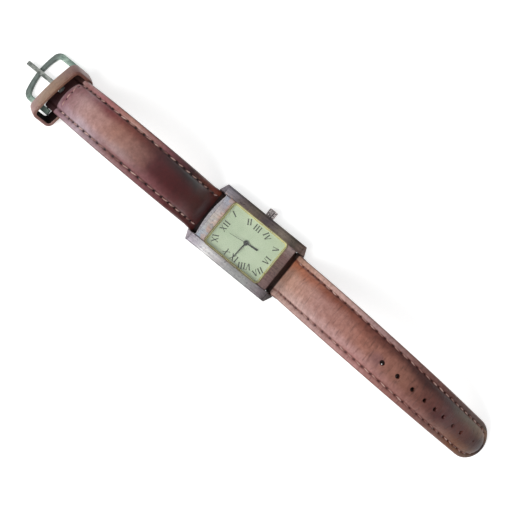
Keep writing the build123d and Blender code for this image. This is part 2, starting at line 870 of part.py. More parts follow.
# Spring bars: a tube with a lip at each end, a spring and two tips that reach into the lugs or the buckle
def spring_bar(name, x, y, z, half_gap):
    half_tube = half_gap - bar_end_gap
    shoulder = half_tube - bar_lip - eps
    plunger_back = shoulder - plunger_length
    travel = pivot_reach + free_gap
    with BuildPart() as tube:
        with BuildSketch(Plane.YZ.offset(x)):
            with Locations((y, z)):
                Circle(bar_radius)
        extrude(amount=half_tube, both=True)
        with BuildSketch(Plane.YZ.offset(x)):
            with Locations((y, z)):
                Circle(bar_bore)
        extrude(amount=half_tube - bar_lip, both=True, mode=Mode.SUBTRACT)
        with BuildSketch(Plane.YZ.offset(x)):
            with Locations((y, z)):
                Circle(pivot_radius + shaft_gap)
        extrude(amount=half_tube, both=True, mode=Mode.SUBTRACT)
    save(tube, name + "_tube")
    with BuildPart() as spring:
        with BuildSketch(Plane.YZ.offset(x)):
            with Locations((y, z)):
                Circle(spring_radius)
        extrude(amount=plunger_back - travel, both=True)
    save(spring, name + "_spring")
    for side, side_name in ((-1, "left"), (1, "right")):
        with BuildPart() as tip:
            with BuildSketch(Plane.YZ.offset(x + side * plunger_back)):
                with Locations((y, z)):
                    Circle(plunger_radius)
            extrude(amount=side * plunger_length)
            with BuildSketch(Plane.YZ.offset(x + side * shoulder)):
                with Locations((y, z)):
                    Circle(pivot_radius)
            extrude(amount=side * (half_gap + pivot_reach - shoulder))
        save(tip, name + "_tip_" + side_name)


# Strap: the run of each half in the Y-Z plane, up from the spring bar, over a peak and down to the table
leather = leather_top + leather_filler + leather_lining
skin_out = leather / 2


class Run:
    """A straight rise, an arc to the peak, an arc down from it and a straight tail."""

    def __init__(self, side, rise, straight, peak_y, fall, end_y, end_z):
        self.side = side
        self.rise = radians(rise)
        self.fall = radians(fall)
        self.straight = straight
        self.peak_y = peak_y
        self.rise_radius = (peak_y - bar_y - straight * cos(self.rise)) / sin(self.rise)
        self.peak_z = bar_z + straight * sin(self.rise) + self.rise_radius * (1 - cos(self.rise))
        self.end = (end_y, end_z)
        across = end_y - peak_y
        drop = self.peak_z - end_z
        short_of = across * tan(self.fall) - drop
        self.fall_radius = short_of / (sin(self.fall) * tan(self.fall) - (1 - cos(self.fall)))
        self.tail = (across - self.fall_radius * sin(self.fall)) / cos(self.fall)

    def on_rise(self, angle, out):
        reach = self.rise_radius + out
        centre_z = self.peak_z - self.rise_radius
        return self.side * (self.peak_y - reach * sin(angle)), centre_z + reach * cos(angle)

    def on_fall(self, angle, out):
        reach = self.fall_radius + out
        centre_z = self.peak_z - self.fall_radius
        return self.side * (self.peak_y + reach * sin(angle)), centre_z + reach * cos(angle)

    def on_tail(self, from_end, out):
        y = self.end[0] - from_end * cos(self.fall) + out * sin(self.fall)
        z = self.end[1] + from_end * sin(self.fall) + out * cos(self.fall)
        return self.side * y, z

    def at(self, from_end, out=0.0):
        """The point and the slope a distance back from the end, for the tail and the arc above it."""
        if from_end <= self.tail:
            return self.on_tail(from_end, out), self.fall
        angle = self.fall - (from_end - self.tail) / self.fall_radius
        if angle > 0:
            return self.on_fall(angle, out), angle
        angle = -(from_end - self.tail - self.fall_radius * self.fall) / self.rise_radius
        return self.on_rise(-angle, out), angle

    def start(self, out):
        return self.side * (bar_y - out * sin(self.rise)), bar_z + out * cos(self.rise)

    def band(self, low, high):
        """The sketch of a layer between two distances out from the middle of the leather."""
        with BuildSketch(Plane.YZ) as outline:
            with BuildLine():
                for out in (low, high):
                    Line(self.start(out), self.on_rise(self.rise, out))
                    ThreePointArc(
                        self.on_rise(self.rise, out), self.on_rise(self.rise / 2, out), self.on_rise(0, out)
                    )
                    ThreePointArc(
                        self.on_fall(0, out), self.on_fall(self.fall / 2, out), self.on_fall(self.fall, out)
                    )
                    Line(self.on_fall(self.fall, out), self.on_tail(0, out))
                Line(self.start(low), self.start(high))
                Line(self.on_tail(0, low), self.on_tail(0, high))
            make_face()
        return outline.sketch


strap_width = lug_gap - 2 * strap_side_gap
short_run = Run(
    1, short_rise_angle, short_straight, short_peak_y, short_fall_angle, short_end_y, buckle_fold_radius
)
long_end_z = skin_out * cos(radians(long_fall_angle))
long_run = Run(-1, long_rise_angle, long_straight, long_peak_y, long_fall_angle, long_end_y, long_end_z)


def drift_at(y, end_y, drift):
    """How far a strap half's middle line has moved sideways at a distance y from the case's middle."""
    return drift * max(0.0, y - strap_full_width_y) / (end_y - strap_full_width_y)


def cylinder_outline(y, z, radius):
    with BuildSketch(Plane.YZ) as outline:
        with Locations((y, z)):
            Circle(radius)
    return outline.sketch


layers = {
    "top": (skin_out - leather_top, skin_out),
    "filler": (skin_out - leather_top - leather_filler, skin_out - leather_top),
    "lining": (-skin_out, leather_lining - skin_out),
}
half_strap = strap_width / 2
bar_hole_radius = bar_radius + shaft_gap
short_bar = (short_run.end[0], short_run.end[1])

for layer, (low, high) in layers.items():
    with BuildPart() as short_leather:
        extrude(short_run.band(low, high), amount=half_strap, both=True)
        folds = ((bar_y, bar_z, bar_fold_radius), (*short_bar, buckle_fold_radius))
        for y, z, radius in folds:
            fold_mode = Mode.ADD if layer == "top" else Mode.SUBTRACT
            extrude(cylinder_outline(y, z, radius), amount=half_strap, both=True, mode=fold_mode)
            bore = cylinder_outline(y, z, bar_hole_radius)
            extrude(bore, amount=half_strap, both=True, mode=Mode.SUBTRACT)
        with BuildSketch(Plane.XY):
            with BuildLine():
                Polyline(
                    (-half_strap, 0),
                    (-half_strap, strap_full_width_y),
                    (short_drift - short_end_width / 2, short_end_y),
                    (short_drift - short_end_width / 2, short_end_y + leather),
                    (short_drift + short_end_width / 2, short_end_y + leather),
                    (short_drift + short_end_width / 2, short_end_y),
                    (half_strap, strap_full_width_y),
                    (half_strap, 0),
                    close=True,
                )
            make_face()
        extrude(amount=short_end_y, mode=Mode.INTERSECT)
        slot_plane = Plane(
            (short_drift, *short_bar), x_dir=(1, 0, 0), z_dir=(0, sin(short_run.fall), cos(short_run.fall))
        )
        with BuildSketch(slot_plane):
            with Locations((0, buckle_fold_radius + eps)):
                Rectangle(tongue_slot_width, tongue_slot_length, align=(Align.CENTER, Align.MAX))
        extrude(amount=2 * leather, both=True, mode=Mode.SUBTRACT)
    save(short_leather, "strap_short_" + layer)

for layer, (low, high) in layers.items():
    with BuildPart() as long_leather:
        extrude(long_run.band(low, high), amount=half_strap, both=True)
        fold_mode = Mode.ADD if layer == "top" else Mode.SUBTRACT
        fold = cylinder_outline(-bar_y, bar_z, bar_fold_radius)
        extrude(fold, amount=half_strap, both=True, mode=fold_mode)
        bore = cylinder_outline(-bar_y, bar_z, bar_hole_radius)
        extrude(bore, amount=half_strap, both=True, mode=Mode.SUBTRACT)
        with BuildSketch(Plane.XY):
            with BuildLine():
                round_start = drift_at(long_tip_round_y, long_end_y, long_drift)
                left_end = (round_start - long_end_width / 2, -long_tip_round_y)
                right_end = (round_start + long_end_width / 2, -long_tip_round_y)
                Polyline(
                    left_end,
                    (-half_strap, -strap_full_width_y),
                    (-half_strap, 0),
                    (half_strap, 0),
                    (half_strap, -strap_full_width_y),
                    right_end,
                )
                ThreePointArc(right_end, (long_drift, -long_end_y), left_end)
            make_face()
        extrude(amount=long_end_y, mode=Mode.INTERSECT)
        for from_tip in holes_from_tip:
            (hole_y, hole_z), slope = long_run.at(from_tip)
            hole_x = drift_at(-hole_y, long_end_y, long_drift) + hole_line_offset
            with BuildSketch(Plane((hole_x, hole_y, hole_z), z_dir=(0, -sin(slope), cos(slope)))):
                Circle(hole_radius)
            extrude(amount=leather, both=True, mode=Mode.SUBTRACT)
    save(long_leather, "strap_long_" + layer)

# Keeper: a loose loop of leather round the steep end of the short half, a little askew
up_strap = Vector(0, -cos(short_run.fall), sin(short_run.fall))
across_strap = Vector(1, 0, 0)
skew = radians(keeper_skew)
keeper_y, keeper_z = short_run.on_tail(keeper_from_bar + keeper_length / 2, 0)
keeper_plane = Plane(
    (short_drift, keeper_y, keeper_z),
    x_dir=across_strap * cos(skew) - up_strap * sin(skew),
    z_dir=up_strap * cos(skew) + across_strap * sin(skew),
)
keeper_inner_width = short_end_width + keeper_room_beside
keeper_inner_height = leather + keeper_room_below + keeper_room_above
keeper_middle = (keeper_shift, (keeper_room_above - keeper_room_below) / 2)
with BuildPart() as keeper_loop:
    with BuildSketch(keeper_plane):
        with Locations(keeper_middle):
            RectangleRounded(
                keeper_inner_width + 2 * keeper_wall,
                keeper_inner_height + 2 * keeper_wall,
                keeper_inner_corner + keeper_wall,
            )
            RectangleRounded(
                keeper_inner_width, keeper_inner_height, keeper_inner_corner, mode=Mode.SUBTRACT
            )
    extrude(amount=keeper_length / 2, both=True)
save(keeper_loop, "keeper_loop")

# Buckle: a U-shaped frame whose front bar lies on the table, and its tongue
buckle_inner = short_end_width / 2 + buckle_side_gap
buckle_outer = buckle_inner + buckle_wire
buckle_tilt = asin((short_bar[1] - buckle_thickness / 2) / buckle_reach)
buckle_plane = Plane(
    (short_drift, *short_bar), x_dir=(1, 0, 0), z_dir=(0, sin(buckle_tilt), cos(buckle_tilt))
)
shoulder_y = buckle_reach - buckle_bow
front_inner_y = buckle_reach - buckle_front_wire


def buckle_outline(half_width, back_y, corner_y, front_y, corner_radius):
    with BuildSketch(buckle_plane) as outline:
        with BuildLine():
            left, right = (-half_width, corner_y), (half_width, corner_y)
            Polyline(left, (-half_width, back_y), (half_width, back_y), right)
            ThreePointArc(right, (0, front_y), left)
        make_face()
        fillet(outline.vertices().sort_by(Axis.Y)[-2:], corner_radius)
    return outline.sketch


with BuildPart() as buckle_frame:
    outer = buckle_outline(buckle_outer, -buckle_ear, shoulder_y, buckle_reach, buckle_corner)
    extrude(outer, amount=buckle_thickness / 2, both=True)
    inner = buckle_outline(
        buckle_inner, -2 * buckle_ear, shoulder_y - buckle_front_wire, front_inner_y,
        buckle_corner - buckle_wire,
    )
    extrude(inner, amount=buckle_thickness, both=True, mode=Mode.SUBTRACT)
    flats = buckle_frame.faces().filter_by(buckle_plane)
    fillet(flats.edges(), buckle_rounding)
    for side in (-1, 1):
        with BuildSketch(Plane.YZ.offset(short_drift + side * buckle_inner)):
            with Locations(short_bar):
                Circle(pivot_radius + shaft_gap)
        extrude(amount=side * (pivot_reach + pivot_hole_extra), mode=Mode.SUBTRACT)
save(buckle_frame, "buckle_frame")

tongue_plane = Plane((short_drift, *short_bar), x_dir=buckle_plane.y_dir, z_dir=(1, 0, 0))
tongue_foot = buckle_thickness / 2 + tongue_clearance
tongue_back = tongue_foot + tongue_thickness
nose_top, nose_tip = (tongue_foot + share * tongue_thickness for share in tongue_nose_shares)
tongue_tip = buckle_reach + tongue_past_front
with BuildPart() as buckle_tongue:
    with BuildSketch(tongue_plane):
        Circle(tongue_ring)
        with BuildLine():
            Polyline(
                (0, tongue_foot - tongue_thickness),
                (0, tongue_ring),
                (front_inner_y, tongue_back),
                (tongue_tip - tongue_nose_length, nose_top),
                (tongue_tip, nose_tip),
                (tongue_tip - tongue_nose_back, tongue_foot),
                (front_inner_y - tongue_seat, tongue_foot),
                close=True,
            )
        make_face()
        Circle(bar_hole_radius, mode=Mode.SUBTRACT)
    extrude(amount=tongue_width / 2, both=True)
save(buckle_tongue, "buckle_tongue")

spring_bar("lug_bar_high", 0, bar_y, bar_z, lug_gap / 2)
spring_bar("lug_bar_low", 0, -bar_y, bar_z, lug_gap / 2)
spring_bar("buckle_bar", short_drift, *short_bar, buckle_inner)
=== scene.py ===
import random
from functools import partial
from math import atan2, cos, degrees, exp, hypot, pi, radians, sin, sqrt

import bmesh
import bpy
from bmesh import ops
from mathutils import Matrix, Vector


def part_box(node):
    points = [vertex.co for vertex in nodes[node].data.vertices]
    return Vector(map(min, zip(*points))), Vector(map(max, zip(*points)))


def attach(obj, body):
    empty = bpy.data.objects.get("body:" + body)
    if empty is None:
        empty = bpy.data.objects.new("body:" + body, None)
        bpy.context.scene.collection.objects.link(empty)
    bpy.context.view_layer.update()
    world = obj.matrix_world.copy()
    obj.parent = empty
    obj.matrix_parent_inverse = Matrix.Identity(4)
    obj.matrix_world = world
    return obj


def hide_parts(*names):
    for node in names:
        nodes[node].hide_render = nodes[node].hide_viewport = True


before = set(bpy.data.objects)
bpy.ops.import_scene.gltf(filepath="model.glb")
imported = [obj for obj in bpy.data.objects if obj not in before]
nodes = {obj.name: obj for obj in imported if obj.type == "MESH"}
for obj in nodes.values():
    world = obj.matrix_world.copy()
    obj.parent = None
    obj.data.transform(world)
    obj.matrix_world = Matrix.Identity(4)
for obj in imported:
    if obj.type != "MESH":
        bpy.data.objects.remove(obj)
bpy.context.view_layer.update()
mm = 0.001
dice = random.Random(7)
print("stage: frame loaded with", len(nodes), "nodes")


def hexColour(text):
    channels = [int(text[i:i + 2], 16) / 255 for i in (1, 3, 5)]
    return (*[c / 12.92 if c <= 0.04045 else ((c + 0.055) / 1.055) ** 2.4 for c in channels], 1.0)


# The setting that "choice" fills in for each kind of node; a colour ramp's choice is its stops
choices = {
    "Math": "operation", "VectorMath": "operation", "MapRange": "interpolation_type", "Mix": "blend_type",
    "Attribute": "attribute_name", "UVMap": "uv_map", "TexWave": "bands_direction",
}


def addNode(tree, kind, links=None, choice=None):
    # links fill the inputs, by name or in order, with values, sockets or nodes, which pass their first output
    node = tree.nodes.new("ShaderNode" + kind)
    if kind == "Mix":
        node.data_type = "RGBA"
    if isinstance(links, tuple):
        links = dict(zip((0, 6, 7) if kind == "Mix" else range(5), links))
    if kind == "ValToRGB":
        ramp = node.color_ramp.elements
        while len(ramp) < len(choice):
            ramp.new(0.5)
        for stop, (place, colour) in zip(ramp, choice):
            stop.position = place
            stop.color = hexColour(colour)
    elif choice:
        setattr(node, choices[kind], choice)
    for name, value in (links or {}).items():
        if isinstance(value, bpy.types.Node):
            value = next(socket for socket in value.outputs if socket.enabled)
        if isinstance(value, bpy.types.NodeSocket):
            tree.links.new(value, node.inputs[name])
        else:
            node.inputs[name].default_value = hexColour(value) if isinstance(value, str) else value
    return node


def startMaterial(name):
    # an empty material, and what adds nodes to it
    material = bpy.data.materials.new(name)
    material.use_nodes = True
    material.node_tree.nodes.clear()
    return material, partial(addNode, material.node_tree)


def closeMaterial(material, sockets):
    # one Principled shader; numbers and colours that never vary go straight on its sockets
    shader = addNode(material.node_tree, "BsdfPrincipled", sockets)
    addNode(material.node_tree, "OutputMaterial", {"Surface": shader})
    return material


def smoothStep(low, high, value):
    t = min(1.0, max(0.0, (value - low) / (high - low)))
    return t * t * (3 - 2 * t)


def finishMesh(name, bm, material, smooth=True):
    for face in bm.faces:
        face.smooth = smooth
    mesh = bpy.data.meshes.new(name)
    bm.to_mesh(mesh)
    bm.free()
    mesh.materials.append(material)
    piece = bpy.data.objects.new(name, mesh)
    bpy.context.scene.collection.objects.link(piece)
    return piece


def dress(material, *names):
    # gives CAD nodes their finish
    for name in names:
        slots = nodes[name].material_slots
        for slot in slots:
            slot.material = material
        if not len(slots):
            nodes[name].data.materials.append(material)


def faceOutwards(bm):
    ops.recalc_face_normals(bm, faces=bm.faces[:])


def moveAll(bm, matrix):
    ops.transform(bm, matrix=matrix, verts=bm.verts[:])


def insetFaces(bm, faces, width, depth=0.0):
    # gives the many-sided faces, which are those left in the middle
    ops.inset_region(bm, faces=faces, thickness=width, depth=depth, use_boundary=True, use_even_offset=True)
    return [f for f in bm.faces if len(f.verts) > 4]


def thicken(bm, level):
    # closes a flat sheet with a second face at another height
    made = ops.extrude_face_region(bm, geom=bm.faces[:])
    for vert in [g for g in made["geom"] if isinstance(g, bmesh.types.BMVert)]:
        vert.co.z = level
    faceOutwards(bm)


def roundedSheet(wide, long, corner, segments):
    # a flat rectangle with round corners
    bm = bmesh.new()
    ops.create_grid(bm, x_segments=1, y_segments=1, size=0.5)
    moveAll(bm, Matrix.Diagonal((wide, long, 1, 1)))
    ops.bevel(bm, geom=bm.verts[:], offset=corner, offset_type="OFFSET", segments=segments, profile=0.5,
              affect="VERTICES", material=-1)
    return bm


def pullEdges(bm, edges, rise):
    # draws a wall up or down from some edges, and gives the edges at its end
    made = ops.extrude_edge_only(bm, edges=edges)["geom"]
    fresh = {g for g in made if isinstance(g, bmesh.types.BMVert)}
    ops.translate(bm, vec=(0, 0, rise), verts=list(fresh))
    return [g for g in made if isinstance(g, bmesh.types.BMEdge) and all(v in fresh for v in g.verts)]


studio = {
    "cameraOver": (-1.2, -5.1, 375.0),  # mm, straight above the table
    "turn": 39.1,  # degrees the watch lies turned in the view
    "lens": 81.6,
    "floorColour": "#f4f4f2",
    "floorGlow": 0.55,  # what the camera sees of the floor besides the light on it
    "floorDrop": 0.00002,
    "sky": ((0.93, 0.96, 1.0, 1), 0.33),
    "lampSize": 0.6,
    # a broad window-like panel past the 12 o'clock, 9 o'clock side, and two weak ones
    "lamps": {
        "windowPanel": ((-0.52, 0.3, 0.84), 6.7),
        "overheadPanel": ((0.1, -0.1, 1.1), 1.3),
        "fillPanel": ((0.6, -0.5, 0.5), 0.5),
    },
}


def buildStudio():
    scene = bpy.context.scene
    lens = bpy.data.cameras.new("camera")
    lens.lens = studio["lens"]
    lens.clip_start = 0.01
    camera = bpy.data.objects.new("camera", lens)
    camera.location = Vector(studio["cameraOver"]) * mm
    camera.rotation_euler = (0, 0, radians(studio["turn"] - 90))
    scene.collection.objects.link(camera)
    scene.camera = camera

    material, add = startMaterial("paperFloor")
    rays = add("LightPath").outputs
    seen = add("Math", (rays["Is Camera Ray"], rays["Is Glossy Ray"]), "MAXIMUM")
    seenThrough = add("Math", (seen, rays["Is Transmission Ray"]), "MAXIMUM")
    glow = add("Math", (seenThrough, studio["floorGlow"]), "MULTIPLY")
    closeMaterial(material, {"Base Color": studio["floorColour"], "Roughness": 0.9, "Specular IOR Level": 0.1,
                             "Emission Color": (1, 1, 1, 1), "Emission Strength": glow})
    bm = bmesh.new()
    ops.create_grid(bm, x_segments=2, y_segments=2, size=3.0)
    floor = finishMesh("floor", bm, material)
    floor.data.transform(Matrix.Translation((0, 0, -studio["floorDrop"])))

    world = bpy.data.worlds.new("studio")
    scene.world = world
    world.use_nodes = True
    world.node_tree.nodes.clear()
    add = partial(addNode, world.node_tree)
    plain = add("Background", {"Color": (1, 1, 1, 1), "Strength": 1.0})
    colour, strength = studio["sky"]
    soft = add("Background", {"Color": colour, "Strength": strength})
    pick = add("MixShader", (add("LightPath").outputs["Is Camera Ray"], soft, plain))
    add("OutputWorld", {"Surface": pick})

    for name, (place, power) in studio["lamps"].items():
        lamp = bpy.data.lights.new(name, "AREA")
        lamp.shape = "SQUARE"
        lamp.size = studio["lampSize"]
        lamp.energy = power
        lampObject = bpy.data.objects.new(name, lamp)
        lampObject.location = place
        lampObject.visible_transmission = False  # the crystal casts no shadow, so it must not add lamp light too
        lampObject.rotation_euler = (-Vector(place)).to_track_quat("-Z", "Y").to_euler()
        scene.collection.objects.link(lampObject)
    scene.view_settings.view_transform = "Standard"


buildStudio()
print("stage: studio ready")

# Each half is modelled flat, X across, Y along from the lug bar and Z out of its middle plane, and then bent over
# its bars and along its bow. Lengths are in mm until it is bent, and angles in degrees.
leatherMake = {
    "skin": 1.2,  # from the middle plane to the outer face
    "topUnder": 0.35,  # underside of the top leather
    "fillerUnder": -0.45,
    "fillerInset": 0.18, "liningInset": 0.05, "underFrom": 1.7, "underEndGap": 1.6,
    "barY": 16.0, "barZ": 2.3,
    "halfStart": 7.65, "fullWidthY": 18.0,
    "flare": 0.29,  # the end round the bar has spread to fill the lugs
    "wrapStart": 205.0, "bulgeStart": 0.64, "bulgeLength": 1.3, "bulgeEndLength": 4,
    "bulgeAbove": -0.5,  # the inner face doesn't bulge over the bars
    "tip": 7.2,  # length of the rounded tip, seen from above
    "seamIn": 2.0,  # stitch line, from the edge
    "firstStitch": 3.0, "stitchPitch": 3.2,
    "endSeam": 10.9,  # from the buckle bar to the last stitches before it
    "crossStep": 0.8, "crossSpaces": 4, "tipSpaces": 8,
    "worn": 0.12,  # what wear has taken off the flat margin
    "roll": 0.7, "rollDrop": 0.42,
    "crown": 1.6,  # how much the padding swells
    "crownFrom": 2.1, "crownWidth": 5.4, "padFrom": 1.5, "padFull": 9,
    "seamDip": 0.25, "seamWidth": 0.4,
    "needle": 0.42, "needleDip": 0.4,  # radius and depth of the dimple round each needle hole
}
strapShort = {
    **leatherMake, "name": "strapShort", "body": "strap_short", "side": 1, "rise": 55.0, "straight": 11.0,
    "riseRadius": 28.92, "fall": 48.0, "fallRadius": 24.85, "tail": 18.73, "endY": 77.0, "halfEnd": 7.25,
    "drift": 0.9, "wrapEnd": 200.0, "bulgeEnd": 0.3, "rows": {"top": 240, "filler": 120, "lining": 120},
}
strapLong = {
    **leatherMake, "name": "strapLong", "body": "strap_long", "side": -1, "rise": 58.0, "straight": 8.0,
    "riseRadius": 42.17, "fall": 43.0, "fallRadius": 35.90, "tail": 26.96, "endY": 100.2, "halfEnd": 6.75,
    "drift": -3.6, "wrapEnd": 0.0, "bulgeEnd": 0.0, "rows": {"top": 300, "filler": 140, "lining": 140},
}


def ray(angle):
    # one step away from straight up, turned towards the strap's end
    return Vector((sin(angle), cos(angle)))


def strapLength(strap):
    arcs = strap["riseRadius"] * radians(strap["rise"]) + strap["fallRadius"] * radians(strap["fall"])
    return strap["straight"] + arcs + strap["tail"]


def alongStrap(strap, s, out):
    # (distance from the middle of the case, height) of a point s along the strap and out from its middle
    rise, fall = radians(strap["rise"]), radians(strap["fall"])
    bar = Vector((strap["barY"], strap["barZ"]))
    tangent, normal = Vector((cos(rise), sin(rise))), ray(-rise)
    if out > strap["bulgeAbove"]:
        out += strap["bulgeStart"] * (1 - smoothStep(0, strap["bulgeLength"], s))
    if s <= 0:
        turn = min(-s / strap["skin"], radians(strap["wrapStart"]))
        return bar + (normal * cos(turn) - tangent * sin(turn)) * out
    if s <= strap["straight"]:
        return bar + tangent * s + normal * out
    centre = bar + tangent * strap["straight"] - normal * strap["riseRadius"]
    riseArc = strap["riseRadius"] * rise
    s -= strap["straight"]
    if s <= riseArc:
        return centre + ray(-(rise - s / strap["riseRadius"])) * (strap["riseRadius"] + out)
    centre += Vector((0, strap["riseRadius"]))
    centre -= Vector((0, strap["fallRadius"]))
    s -= riseArc
    fallArc = strap["fallRadius"] * fall
    if s <= fallArc:
        return centre + ray(s / strap["fallRadius"]) * (strap["fallRadius"] + out)
    tangent, normal = Vector((cos(fall), -sin(fall))), ray(fall)
    low = centre + normal * strap["fallRadius"]
    s -= fallArc
    bulgeFrom = strap["tail"] - strap["bulgeEndLength"]
    if s > bulgeFrom and out > strap["bulgeAbove"]:
        out += strap["bulgeEnd"] * smoothStep(bulgeFrom, strap["tail"], s)
    if s <= strap["tail"] or not strap["wrapEnd"]:
        return low + tangent * s + normal * out
    turn = min((s - strap["tail"]) / strap["skin"], radians(strap["wrapEnd"]))
    return low + tangent * strap["tail"] + (normal * cos(turn) + tangent * sin(turn)) * out


def strapHalfWidth(strap, y):
    share = min(1.0, max(0.0, (y - strap["fullWidthY"]) / (strap["endY"] - strap["fullWidthY"])))
    return strap["halfStart"] + (strap["halfEnd"] - strap["halfStart"]) * share, strap["drift"] * share


def bendOnStrap(strap, flat):
    # flat is (across, along, out) in mm; across is drawn for the widest part and narrows with the strap
    y, z = alongStrap(strap, flat.y, flat.z)
    half, drift = strapHalfWidth(strap, y)
    half += strap["flare"] * (1 - smoothStep(1.5, 5, flat.y))
    return Vector((flat.x * half / strap["halfStart"] + drift, strap["side"] * y, z)) * mm


def tipShape(strap):
    # the rounded end of the long half on the flat: where it starts and its two half axes
    long = strap["tip"] / cos(radians(strap["fall"]))
    return strapLength(strap) - long, strap["halfStart"], long


def edgeDistance(strap, x, s):
    # how far a point on the flat lies in from the side edge or the rounded tip
    start, wide, long = tipShape(strap)
    if strap["wrapEnd"] or s <= start:
        return wide - abs(x)
    reach = hypot(x / wide, (s - start) / long)
    return max(0.0, (1 / max(reach, 0.05) - 1) * hypot(x, s - start))


def layOutSheet(strap, rows, columns, begin, end):
    # a flat sheet cut to the strap's outline
    bm = bmesh.new()
    ops.create_grid(bm, x_segments=columns, y_segments=rows, size=1.0)
    start = tipShape(strap)[0]
    for vert in bm.verts:
        across = sin(vert.co.x * pi / 2) * 0.65 + vert.co.x * 0.35
        share = (vert.co.y + 1) / 2
        reach = end
        if not strap["wrapEnd"]:
            reach = end - (end - start) * (1 - sqrt(max(0.0, 1 - across * across)))
        vert.co = (across * strap["halfStart"], begin + (reach - begin) * share, 0)
    return bm


def stitchPath(strap):
    # stitch middles and headings on the flat: two rows, joined across or round the tip
    inset, pitch = strap["seamIn"], strap["stitchPitch"]
    start, wide, long = tipShape(strap)
    half = wide - inset
    last = strapLength(strap) - strap["endSeam"] if strap["wrapEnd"] else start
    rows = range(int((last - strap["firstStitch"]) / pitch) + 1)
    places = [(side * half, last - n * pitch, 90.0) for n in rows for side in (-1, 1)]
    if strap["wrapEnd"]:
        spaces = strap["crossSpaces"]
        return places + [(-half + n * 2 * half / spaces, last + strap["crossStep"], 0.0) for n in range(1, spaces)]
    wide, long = wide - inset, long - inset
    for n in range(1, strap["tipSpaces"]):
        angle = radians(180 * n / strap["tipSpaces"])
        heading = degrees(atan2(long * cos(angle), -wide * sin(angle)))
        places.append((wide * cos(angle), start + long * sin(angle), heading))
    return places


def needleHoles(strap):
    # each hole lies halfway between two stitches, sorted into 4 mm bins along the strap
    if "needles" not in strap:
        strap["needles"] = {}
        for x, s, heading in stitchPath(strap):
            reach = strap["stitchPitch"] / 2
            hole = (x + reach * cos(radians(heading)), s + reach * sin(radians(heading)))
            for step in (-1, 0, 1):
                strap["needles"].setdefault(int(hole[1] // 4) + step, []).append(hole)
    return strap["needles"]


def needleShare(strap, x, s):
    near = needleHoles(strap).get(int(s // 4), ())
    closest = min((hypot(x - hole[0], s - hole[1]) for hole in near), default=9.0)
    return exp(-(closest / strap["needle"]) ** 2) if closest < 1.5 else 0.0


def leatherHeight(strap, x, s):
    # outer face of the top leather: rolled edge, stitched groove and padded middle
    inward = edgeDistance(strap, x, s)
    roll = max(0.0, 1 - inward / strap["roll"])
    groove = exp(-((inward - strap["seamIn"]) / strap["seamWidth"]) ** 2)
    padded = min(1.0, max(0.0, inward - strap["crownFrom"]) / strap["crownWidth"])
    swell = max(0.0, 1 - (1 - padded) ** 2) ** 0.6
    full, left = strap["padFull"], strapLength(strap) - s
    ends = smoothStep(strap["padFrom"], full, s) * (smoothStep(0, full, left) if strap["wrapEnd"] else 1)
    height = strap["skin"] - strap["worn"] - strap["rollDrop"] * roll * roll - strap["seamDip"] * groove * ends
    return height + strap["crown"] * swell * ends - strap["needleDip"] * needleShare(strap, x, s)


def punch(piece, cutter):
    # cuts holes with a temporary solid, then drops it
    cut = piece.modifiers.new("punch", "BOOLEAN")
    cut.object = cutter
    cut.solver = "EXACT"
    depsgraph = bpy.context.evaluated_depsgraph_get()
    mesh = bpy.data.meshes.new_from_object(piece.evaluated_get(depsgraph))
    piece.modifiers.clear()
    old, piece.data = piece.data, mesh
    name = old.name
    bpy.data.meshes.remove(old)
    mesh.name = name
    bpy.data.objects.remove(cutter)


# Holes for the tongue, some of them added by hand. The padding and lining have closed up in most of them.
tongueHoles = {
    "fromTip": (17.9, 23.6, 29.8, 34.3, 39.0, 44.2, 50.0, 55.7), "across": -0.6, "radius": 0.8,
    "inside": ((0.3, 0.1, 0.1), (0.35, -0.2, 0.1), (0.2, 0.0, 0.2), (0.3, -0.25, 0.0), (0.25, 0.1, -0.2),
               (0.3, -0.4, 0.3), (0.22, -0.4, 0.3), (0.2, -0.45, 0.35)),  # radius, across, along
    "slot": (2.6, 8.6, 8, 1), "slotMiddle": 0.6, "slotCorner": 1.1,  # lets the tongue turn on its bar
}


def holePunches(strap, inside):
    bm = bmesh.new()
    for fromTip, closed in zip(tongueHoles["fromTip"], tongueHoles["inside"]):
        radius, across, along = closed if inside else (tongueHoles["radius"], 0.0, 0.0)
        place = Matrix.Translation((tongueHoles["across"] + across, strapLength(strap) - fromTip + along, 0))
        ops.create_cone(bm, cap_ends=True, segments=20, radius1=radius, radius2=radius, depth=8.0, matrix=place)
    return finishMesh("holePunches", bm, None)


def slotPunch(strap):
    bm = bmesh.new()
    place = Matrix.Translation((0, strapLength(strap) + tongueHoles["slotMiddle"], 0))
    ops.create_cube(bm, size=1.0, matrix=place @ Matrix.Diagonal(tongueHoles["slot"]))
    edges = [e for e in bm.edges if abs(e.verts[0].co.z - e.verts[1].co.z) > 1]
    ops.bevel(bm, geom=edges, offset=tongueHoles["slotCorner"], offset_type="OFFSET", segments=5, profile=0.5,
              affect="EDGES", material=-1)
    return finishMesh("slotPunch", bm, None)


def bendAll(bm, strap):
    for vert in bm.verts:
        vert.co = bendOnStrap(strap, vert.co)
    faceOutwards(bm)


def bendLayer(piece, strap):
    # each point keeps its place on the flat, 100 mm to 1 on a UV map, and how far in from the edge it lies
    bm = bmesh.new()
    bm.from_mesh(piece.data)
    flatMap = bm.loops.layers.uv.new("flat")
    inward = bm.verts.layers.float.new("inward")
    needle = bm.verts.layers.float.new("needle")
    for vert in bm.verts:
        vert[inward] = edgeDistance(strap, vert.co.x, vert.co.y)
        vert[needle] = needleShare(strap, vert.co.x, vert.co.y)
    for face in bm.faces:
        face.smooth = True
        for loop in face.loops:
            loop[flatMap].uv = (loop.vert.co.y * mm * 10, loop.vert.co.x * mm * 10)
    bendAll(bm, strap)
    bm.to_mesh(piece.data)
    bm.free()


